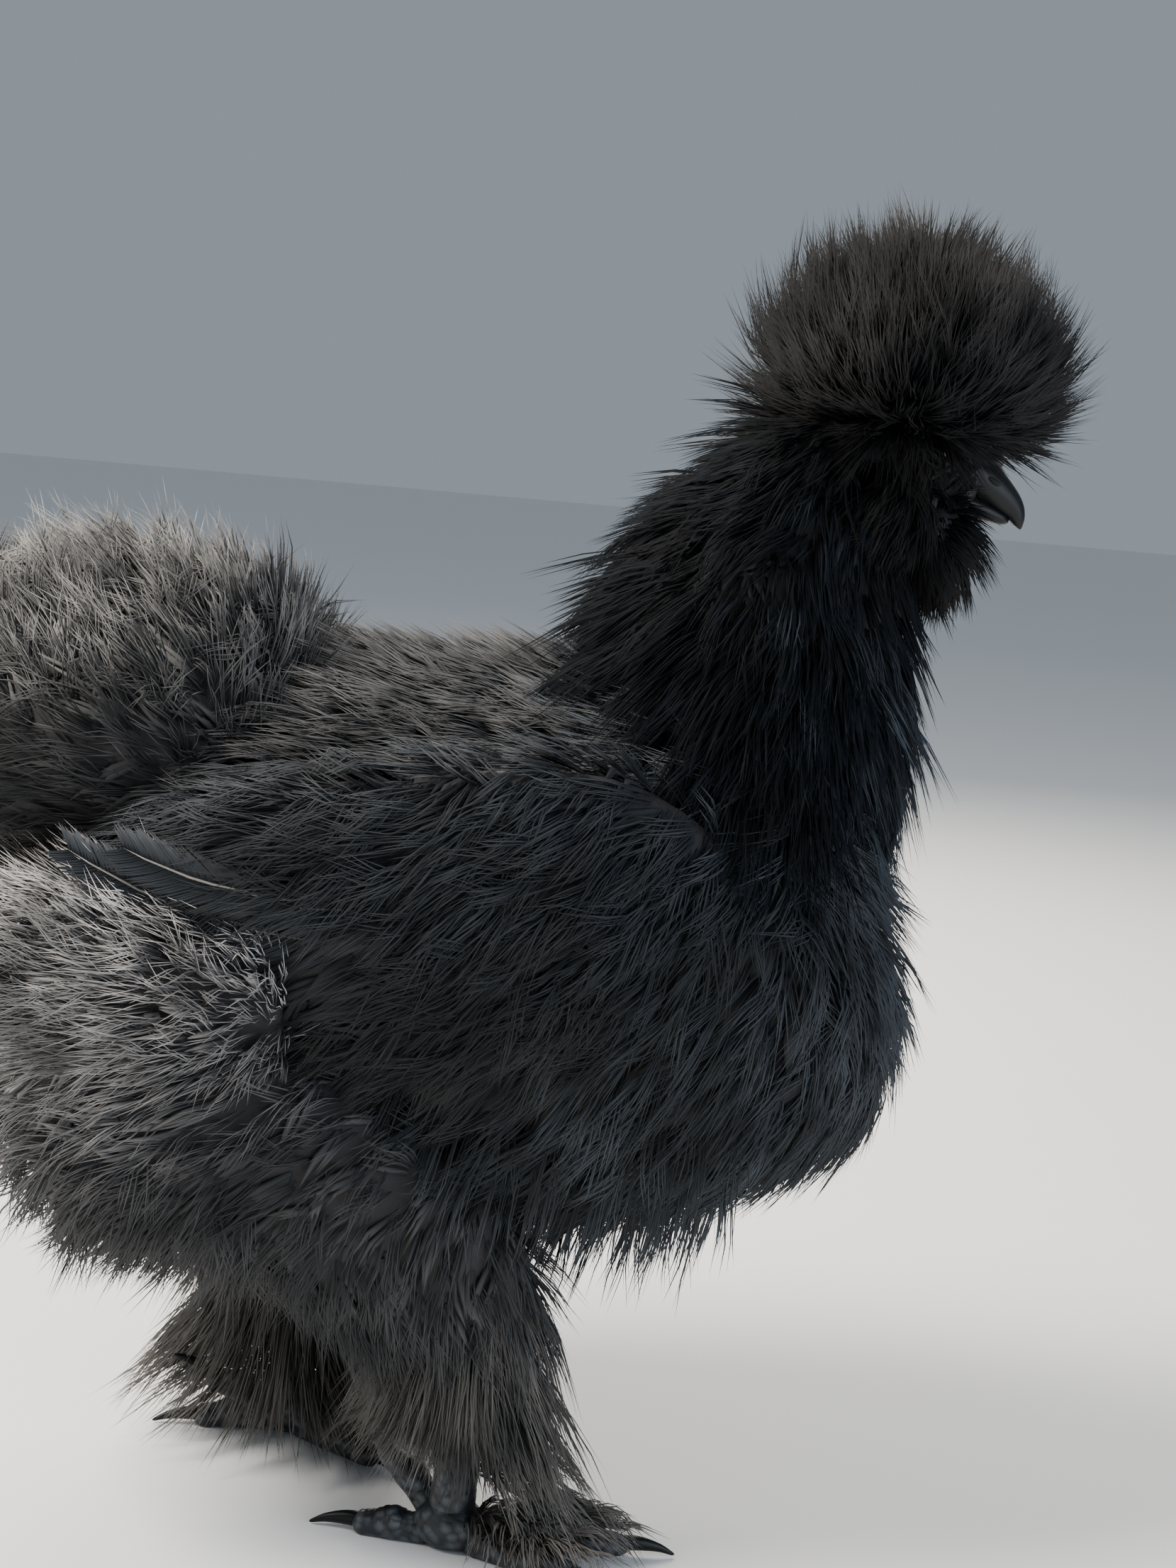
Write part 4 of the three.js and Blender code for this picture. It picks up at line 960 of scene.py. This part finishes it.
def boot_clumps(side, seed, count, strands):
    """Feathers of the foot: they leave the lower shank all round, reach out and fall by a power of the way along.
    Those ahead come down to the floor over the toes, and the others end at the hem's height or above it."""
    rng = np.random.default_rng(seed)
    hem, reach_low = BOOT_HEM[side]
    x, y, _ = FOOT[side]
    hand = HAND[side]
    turn = np.radians(rng.uniform(-180, 180, count))
    ahead = np.stack([np.cos(turn), hand * np.sin(turn), 0 * turn], axis=-1)
    front = np.clip(2.2 * np.cos(turn) - 0.9, 0, 1)
    lowest = (1 - front) * hem + rng.uniform(1, 6, count)
    top = rng.uniform(lowest + 14, BOOT_TOP)
    bottom = np.maximum(lowest, top - rng.uniform(26, 58, count))
    reach = (BOOT_REACH + reach_low * np.clip((36 - bottom) / 36, 0, 1)) * rng.uniform(0.62, 1.0, count)
    t = np.linspace(0, 1, LINE_STEPS)
    height = top[:, None] + (bottom - top)[:, None] * t ** 1.4
    lines = np.array([x, y, 0]) + (4 + reach[:, None] * t ** 0.85)[..., None] * ahead[:, None, :]
    lines = lines + height[..., None] * UP
    ups = unit(ahead[:, None, :] + (0.3 + 0.8 * t)[:, None] * UP)
    roots = unwrap(LEG_CORE[side], 0 * turn + 0.95, (turn / TURN) % 1)
    return comb_out(lines, ups, ahead, roots, rng, strands, spread=4.8, curl=3.6, loft=2.8, width=0.46, fan=1.0,
                    rings=3)


def toe_clumps(side, seed, count, strands):
    """Feathers of the middle and outer toes: they leave the toe's upper side at random places, rise outwards and
    curl over to the floor as a parabola."""
    rng = np.random.default_rng(seed)
    t = np.linspace(0, 1, LINE_STEPS)[:, None]
    lines, lies = [], []
    for toe in ("middle", "outer"):
        root = toe_way(side, toe)(rng.uniform(0.0, 0.72, count), 4)
        heading = np.radians(TOES[toe][0] + rng.normal(22, 30, count))
        out = np.stack([np.cos(heading), HAND[side] * np.sin(heading), 0 * heading], axis=-1)
        reach, rise, end = rng.uniform([[14], [4], [1]], [[28], [11], [4]], (3, count))[..., None, None]
        height = root[:, None, 2:] * (1 - t) + end * t + 4 * rise * t * (1 - t)
        lines.append(root[:, None] * [1, 1, 0] + reach * t * out[:, None] + height * UP)
        lies.append(unit(0.4 * out + UP))
    lines, lies = np.concatenate(lines), np.concatenate(lies)
    ups = np.broadcast_to(lies[:, None], lines.shape)
    roots = unwrap(LEG_CORE[side], np.full(len(lines), 0.97), (np.arange(len(lines)) * GOLDEN / TURN) % 1)
    return comb_out(lines, ups, lies, roots, rng, strands, spread=3.6, start=0.2, curl=2.6, loft=1.8, width=0.44,
                    fan=0.4, rings=3)


# Vanes of one wing, fewer than a quarter of the real ones, for most lie hidden. Each tier is spread from one share of
# the wing to another, from one height to another in shares of its half height, at one length, slope and way out.
FLIGHT_TIERS = [
    {"count": 5, "from": 0.42, "to": 0.66, "high": 0.2, "low": -0.08, "length": 31, "fall": 4, "out": 7.0},
    {"count": 5, "from": 0.46, "to": 0.72, "high": -0.05, "low": -0.34, "length": 35, "fall": -4, "out": 4.5},
]
FLIGHT = {"width": 12, "barbs": 56, "shaft": 0.7, "fan": 18, "curve": 5}


def flight_lines(side):
    """Shafts of the flight feathers: straight runs that fan from the wing's rear, fall and curve up at the tips."""
    hand = HAND[side]
    form = WING_CORE[side]
    t = np.linspace(0, 1, LINE_STEPS)
    lines = []
    for tier in FLIGHT_TIERS:
        for share in np.linspace(0, 1, tier["count"]):
            u = np.array([tier["from"] + (tier["to"] - tier["from"]) * share])
            middle = spline(form.stations[:, :3], u)[0]
            tall = spline(form.stations[:, 3:], u)[0, 0]
            root = middle + tall * (tier["high"] * share + tier["low"] * (1 - share)) * UP
            slope = np.radians(tier["fall"] + 10 - FLIGHT["fan"] * share)
            lines.append(np.stack([
                root[0] - tier["length"] * t * np.cos(slope),
                root[1] + hand * (tier["out"] + 5.4 * share + 2 * t - FLIGHT["curve"] * t * t),
                root[2] - tier["length"] * t * np.sin(slope) + FLIGHT["curve"] * t * t,
            ], axis=-1))
    return np.array(lines)


def vane_barbs(lines, hand, seed, roots):
    """Barbs of vanes: each leaves the shaft sideways and forwards, as long as the vane is wide there, and bends
    towards the tip. They stay a little apart, as a silky feather's do."""
    rng = np.random.default_rng(seed)
    count, barbs = len(lines), FLIGHT["barbs"]
    begin = np.linspace(0.04, 0.97, barbs)[None, :, None] + rng.normal(0, 0.006, (count, barbs, 1))
    base, along = along_line(lines, begin[..., 0])
    up = unit(np.array([0, hand, 0.2]))
    coats = []
    for way in (-1, 1):
        side = way * unit(np.cross(np.broadcast_to(up, along.shape), along))
        reach = FLIGHT["width"] / 2 * (1 - 0.45 * begin ** 3) * rng.uniform(0.8, 1.2, begin.shape)
        t = np.linspace(0, 1, 4)[None, None, :, None]
        points = base[:, :, None] + reach[..., None] * (t * side[:, :, None] + 1.5 * t ** 1.3 * along[:, :, None])
        points = points + 0.5 * np.sin(2.5 * t + 6 * begin[..., None]) * t * up
        flat = points.reshape(-1, 4, 3)
        ups = np.broadcast_to(up, flat.shape)
        lies = unit(up + 0.3 * side).reshape(-1, 3)
        widths = rng.uniform(0.8, 1.15, len(flat))
        tones = np.repeat(rng.uniform(0.1, 0.8, count), barbs)
        coats.append((flat, ups, lies, widths, np.repeat(roots, barbs, axis=0), tones))
    return merged(*coats)


THICKNESS = 0.8  # a strand's height over its width
STRAND_FLOOR = 0.6  # the lowest height of a strand's line


def coat(name, material, *parts, slot="plumage", thickness=THICKNESS):
    """A coat piece from parts of combed strands, none of them below the floor."""
    lines, *rest = merged(*parts)
    dress(tubes(name, above_floor(lines, STRAND_FLOOR), *rest, thickness, material), slot)


def near(forms, margin):
    """Forms that clumps keep clear of, each with the margin."""
    return [(form, margin) for form in forms]


wings, legs, puffs, torso = WING_CORE.values(), LEG_CORE.values(), PUFF_CORE.values(), [TORSO_CORE]

# Under the fine strands lies down, broad locks on the trunk and narrow wisps elsewhere, which hides the skin. It is
# drawn darker than the coat, as painted shade between the strands.
LOCKS = dict(strands=2, spread=3.5, start=0.1, curl=0.8, loft=1.0, width=5.2, sink=1.0, swing=0.3)
WISPS = dict(strands=4, spread=4, start=0.1, curl=1.5, loft=1.0, width=1.9, sink=1.0, swing=0.4)
coat("under_down", UNDER_DOWN,
     clumps_on(NECK_CORE, 60, 340, 20, towards(-0.2, 0, -1), depth=2.5, low=0.02, **WISPS),
     clumps_on(TORSO_CORE, 61, 620, 22, torso_flow, depth=5, low=0.01, clear=near(wings, -4), **LOCKS),
     *[clumps_on(form, 65, 300, 22, wing_flow, depth=3, low=0.01, **WISPS) for form in wings], thickness=0.25)
coat("tail_down", TAIL_SILK, clumps_on(TAIL_CORE, 62, 400, 22, tail_flow, depth=3, clear=near(torso, -6), **WISPS),
     thickness=0.3)
coat("thigh_down", PALE_DOWN,
     *[clumps_on(form, 63, 300, 20, leg_flow, depth=2, high=0.93, clear=near(torso, -6), **WISPS) for form in legs],
     *[clumps_on(form, 64, 110, 12, towards(-1, 0, 0.2), depth=0.5, low=0.16, **WISPS) for form in puffs],
     slot="pale_down", thickness=0.3)

coat("crest_coat", CREST_SILK, crest_clumps(31, 1270, 15))

EYE_CLEARANCE = 5.6


def off_the_eyes(p, n):
    """Whether places are far enough from the middle of the eye on their side."""
    return np.linalg.norm(p - on_head(EYE["forward"], 0, EYE["up"]) - np.sign(p[:, 1:2]) * EYE["side"] * SIDEWAYS,
                          axis=-1) > EYE_CLEARANCE


CHEEK_TUFTS = dict(strands=12, loft=2.0, width=0.4, fall=0.5, fan=0.5)
coat("face_coat", CREST_SILK,
     clumps_on(SKULL, 32, 370, 9, towards(-0.9, 0, -0.5), depth=2.8, high=0.93, sink=0.5, where=off_the_eyes,
               strands=10, spread=1.6, curl=0.7, loft=0.8, width=0.33),
     clumps_on(BEARD_CORE, 33, 210, 20, towards(0.3, 0, -1), spread=3.0, curl=1.6, stand=0.9, settle=0.3, swing=0.3,
               clear=near([LOWER_BILL], 1.0), **CHEEK_TUFTS))
for side, hand in HAND.items():
    coat(f"muff_coat_{side}", CREST_SILK, clumps_on(
        MUFF_CORE[side], 34 + hand, 190, 20, towards(-0.6, hand * 0.35, -0.6), spread=3.2, curl=1.5, stand=0.8,
        settle=0.2, swing=0.35, rings=3, where=lambda p, n: n[:, 1] * hand > -0.25, **CHEEK_TUFTS))

coat("hackle_coat", HACKLE_SILK,
     clumps_on(NECK_CORE, 36, 720, 32, towards(-0.2, 0, -1), depth=COAT["neck"], strands=11, spread=4.4, curl=1.8,
               loft=2.2, width=0.5, low=0.02, swing=0.16),
     clumps_on(  # the cape over the shoulders
         NECK_CORE, 56, 1000, 42, cape_flow, strands=10, spread=5.0, curl=2.2, loft=2.8, width=0.46, stand=1.0,
         settle=0.5, low=0.5, fan=0.5, where=lambda p, n: (np.abs(n[:, 1]) > 0.35) & (n[:, 0] < 0.75)),
     clumps_on(  # the nape
         NECK_CORE, 58, 330, 30, towards(-0.5, 0, -1), strands=9, spread=4.2, curl=2.0, loft=2.5, width=0.45,
         stand=0.9, settle=0.45, low=0.01, high=0.4, where=lambda p, n: n[:, 0] < 0.2))
coat("throat_coat", THROAT_SILK, clumps_on(
    NECK_CORE, 53, 520, 36, towards(-0.12, 0, -1), strands=9, spread=4.8, curl=2.4, loft=2.8, width=0.42,
    stand=0.65, settle=0.25, low=0.42, high=0.99, swing=0.22, fan=0.3, where=lambda p, n: n[:, 0] > 0.0))

BREAST_EDGE, BACK_EDGE, RAGGED = 38, 130, 16  # where breast, back and belly meet, and how unevenly


def on_breast(p):
    """Whether places lie ahead of the ragged edge between the breast and the back."""
    return p[:, 0] + scatter(p, RAGGED) > BREAST_EDGE


TORSO_TUFTS = dict(strands=10, spread=4.0, curl=2.6, loft=2.8, width=0.44, swing=0.34, sink=1.5, rise=0.7, fan=0.45)
LYING = dict(flow=torso_flow, depth=COAT["torso"], **TORSO_TUFTS,
             clear=near([NECK_CORE], -7) + near(wings, -3) + near([TAIL_CORE], -8) + near(legs, -8))
coat("breast_coat", BLACK_SILK,
     clumps_on(TORSO_CORE, 37, 3400, 29, low=0.01, where=lambda p, n: on_breast(p), **LYING),
     clumps_on(TORSO_CORE, 55, 1500, 30, towards(0.0, 0, -1), stand=0.6, settle=0.1, low=0.004,
               where=lambda p, n: (n[:, 0] > 0.35) & (p[:, 2] > 150), **TORSO_TUFTS))
# The back is drawn in the lighter copy of the coat, painted light
coat("back_coat", BACK_SILK,
     clumps_on(TORSO_CORE, 38, 3900, 25, where=lambda p, n: ~on_breast(p) & (p[:, 2] > BACK_EDGE), **LYING),
     clumps_on(  # scapulars, which fill the groove between the back and the wing
         TORSO_CORE, 59, 1300, 30, scapular_flow, stand=0.7, settle=0.2, **TORSO_TUFTS,
         where=lambda p, n: (np.abs(p[:, 1]) > 26) & (p[:, 2] > 166) & (p[:, 0] < 60)),
     clumps_on(  # the vent
         TORSO_CORE, 72, 420, 24, towards(-0.4, 0, -1), stand=0.9, settle=0.2, low=0.86, high=0.998, **TORSO_TUFTS,
         where=lambda p, n: p[:, 2] < 175))
coat("belly_coat", BLACK_SILK,
     clumps_on(TORSO_CORE, 39, 1700, 27, where=lambda p, n: ~on_breast(p) & (p[:, 2] <= BACK_EDGE), **LYING))
coat("belly_fringe", BLACK_SILK, clumps_on(
    TORSO_CORE, 52, 1300, 36, towards(-0.45, 0, -1), strands=9, spread=5.0, curl=3.4, loft=3.2, width=0.42,
    stand=1.5, settle=1.3, fall=1.0, fan=0.3, sink=1.5, rings=3,
    where=lambda p, n: (n[:, 2] < -0.45) & (p[:, 0] > -30) & (p[:, 0] < 80)))

coat("tail_coat", TAIL_SILK,
     clumps_on(TAIL_CORE, 40, 940, 27, tail_flow, strands=9, spread=4.8, curl=4.2, loft=3.4, width=0.38, rings=3,
               stand=0.75, settle=0.35, fan=0.9, swing=0.45, clear=near(torso, 2)),
     clumps_on(TAIL_CORE, 54, 480, 28, tail_flow, strands=7, spread=4.8, curl=6.0, loft=3.8, width=0.38, rings=3,
               stand=1.4, settle=0.7, fan=1.0, swing=0.7, high=0.6, stray=0.6, clear=near(torso, 6),
               where=lambda p, n: (n[:, 2] > 0.1) | (n[:, 0] > 0.3)))
coat("tail_plumes", TAIL_SILK, clumps_on(
    TAIL_CORE, 41, 620, 36, tail_flow, strands=6, spread=2.4, start=0.4, curl=8.5, loft=2.0, width=0.42, rings=6,
    stand=1.1, settle=-0.2, fall=1.1, low=0.1, high=0.9, fan=0.5, swing=0.9, stray=0.35,
    where=lambda p, n: n[:, 2] > 0.3))

SHAFT_STEPS = [0, 2, 3, 5, 6]  # the steps of a vane's middle line that its shaft follows
PUFF_LENGTH = ([-60, -25], [24, 13])  # the cloud's clumps are shorter towards its front
THIGH_TUFTS = dict(strands=8, swing=0.3, fan=0.8)
for side, hand in HAND.items():
    coat(f"wing_coat_{side}", WING_SILK,
         clumps_on(WING_CORE[side], 43 + hand, 1120, 24, wing_flow, depth=COAT["wing"], low=0.01, high=0.8,
                   where=lambda p, n: ((n[:, 1] * hand > -0.1) | (n[:, 2] > -0.2) | (n[:, 0] > 0.2))
                   & ((p[:, 0] > -4) | (p[:, 2] > 163)), **{**TORSO_TUFTS, "loft": 2.6}),
         clumps_on(  # over the wing's upper edge
             WING_CORE[side], 83 + hand, 560, 22, towards(-1, 0, 0.05), strands=10, spread=4.4, curl=2.6, loft=2.8,
             width=0.42, low=0.01, high=0.75, swing=0.3, stand=0.55, fan=0.5, sink=0.5,
             where=lambda p, n: n[:, 2] > 0.7))
    shafts = flight_lines(side)
    spots = unwrap(WING_CORE[side], np.full(len(shafts), 0.9), np.linspace(0.05, 0.95, len(shafts)))
    coat(f"flight_coat_{side}", WING_SILK, vane_barbs(shafts, hand, 45 + hand, spots))
    outside = np.array([0.0, hand, 0.2])
    stiff = shafts[:, SHAFT_STEPS] + 0.6 * outside
    every = np.ones(len(stiff))
    coat(f"quills_{side}", PALE_HORN, (stiff, np.broadcast_to(outside, stiff.shape), every[:, None] * outside,
                                       FLIGHT["shaft"] * every, spots, 0.5 * every))
    coat(f"leg_coat_{side}", PALE_DOWN,
         clumps_on(LEG_CORE[side], 47 + hand, 900, 25, leg_flow, spread=4.4, curl=3.0, loft=3.0, width=0.4,
                   stand=0.8, settle=0.3, fall=0.25, low=0.02, high=0.95,
                   clear=[(TORSO_CORE, -4), (WING_CORE[side], 0)], **THIGH_TUFTS),
         clumps_on(PUFF_CORE[side], 57 + hand, 760, lambda p: np.interp(p[:, 0], *PUFF_LENGTH),
                   towards(-1, 0, 0.3), strands=8, spread=4.6, curl=4.0, loft=3.4, width=0.36, stand=1.25,
                   settle=0.5, fan=1.0, swing=0.4, start=0.35, low=0.09, high=0.98,
                   where=lambda p, n: (n[:, 1] * hand > -0.35) | (n[:, 2] > 0.5)),
         clumps_on(LEG_CORE[side], 67 + hand, 420, 27, towards(-0.5, 0, -1), spread=4.8, curl=3.6, loft=3.2,
                   width=0.44, stand=0.9, settle=0.5, fall=0.6, high=0.6,
                   where=lambda p, n: (n[:, 2] < -0.1) & (p[:, 0] < -30), **THIGH_TUFTS), slot="pale_down")
    coat(f"boot_coat_{side}", BOOT_DOWN, boot_clumps(side, 50 + hand, 350, 9), toe_clumps(side, 70 + hand, 40, 10),
         slot="pale_down")

# Studio
FLOOR_SIZE = 30.0
bpy.ops.mesh.primitive_plane_add(size=FLOOR_SIZE, location=(0, 0, 0))
floor = bpy.context.object
floor.name = "studio_floor"
floor.data.materials.append(start_material("pale_paper_floor", "#eceded", 0.9)[0])  # matt, with no sheen

world = bpy.data.worlds.new("pale_studio")
world.use_nodes = True
backdrop = world.node_tree.nodes["Background"]
backdrop.inputs["Color"].default_value = linear("#d2dfec")
backdrop.inputs["Strength"].default_value = 0.42
bpy.context.scene.world = world


def placed(name, data, axes, place):
    """The object of a light or camera, turned to its three axes and put at its place."""
    obj = bpy.data.objects.new(name, data)
    bpy.context.scene.collection.objects.link(obj)
    obj.matrix_world = Matrix([[*row, value] for row, value in zip(np.stack(axes, 1), place)] + [[0, 0, 0, 1]])
    return obj


LOOK_AT = np.array([0, 0, 0.17])  # the middle of the bird


def soft_light(name, place, size, power, colour):
    """A square area light aimed at the middle of the bird."""
    lamp = bpy.data.lights.new(name, "AREA")
    lamp.size = size
    lamp.energy = power
    lamp.color = linear(colour)[:3]
    z = unit(np.array(place) - LOOK_AT)
    x = unit(np.cross([0, 0, 1], z))
    placed(name, lamp, [x, np.cross(z, x), z], place)


soft_light("key_light", (-0.8, -0.35, 1.15), 0.6, 42, "#fff8f0")
soft_light("fill_light", (1.0, -0.95, 0.45), 1.0, 15, "#e4edfb")
soft_light("back_light", (-0.1, 1.0, 0.9), 0.7, 20, "#fff4e6")

# Camera at the photo's angle: 7.5 degrees down, turned 5 degrees round its own axis
CAMERA = {"place": (35.1, -600.0, 265.1), "pitch": 7.5, "roll": 5.0, "lens": 56.0, "film": 36.0}
pitch, roll = np.radians(CAMERA["pitch"]), np.radians(CAMERA["roll"])
ahead = np.array([0, np.cos(pitch), -np.sin(pitch)])
level = np.array([1.0, 0, 0])
upright = np.cross(level, ahead)
right = level * np.cos(roll) + upright * np.sin(roll)
over = -level * np.sin(roll) + upright * np.cos(roll)
lens = bpy.data.cameras.new("photo_camera")
lens.sensor_fit = "VERTICAL"
lens.sensor_height = CAMERA["film"]
lens.sensor_width = CAMERA["film"]
lens.lens = CAMERA["lens"]
lens.clip_start = 0.01
bpy.context.scene.camera = placed("photo_camera", lens, [right, over, -ahead],
                                  (np.array(CAMERA["place"]) + SHIFT) * MM)
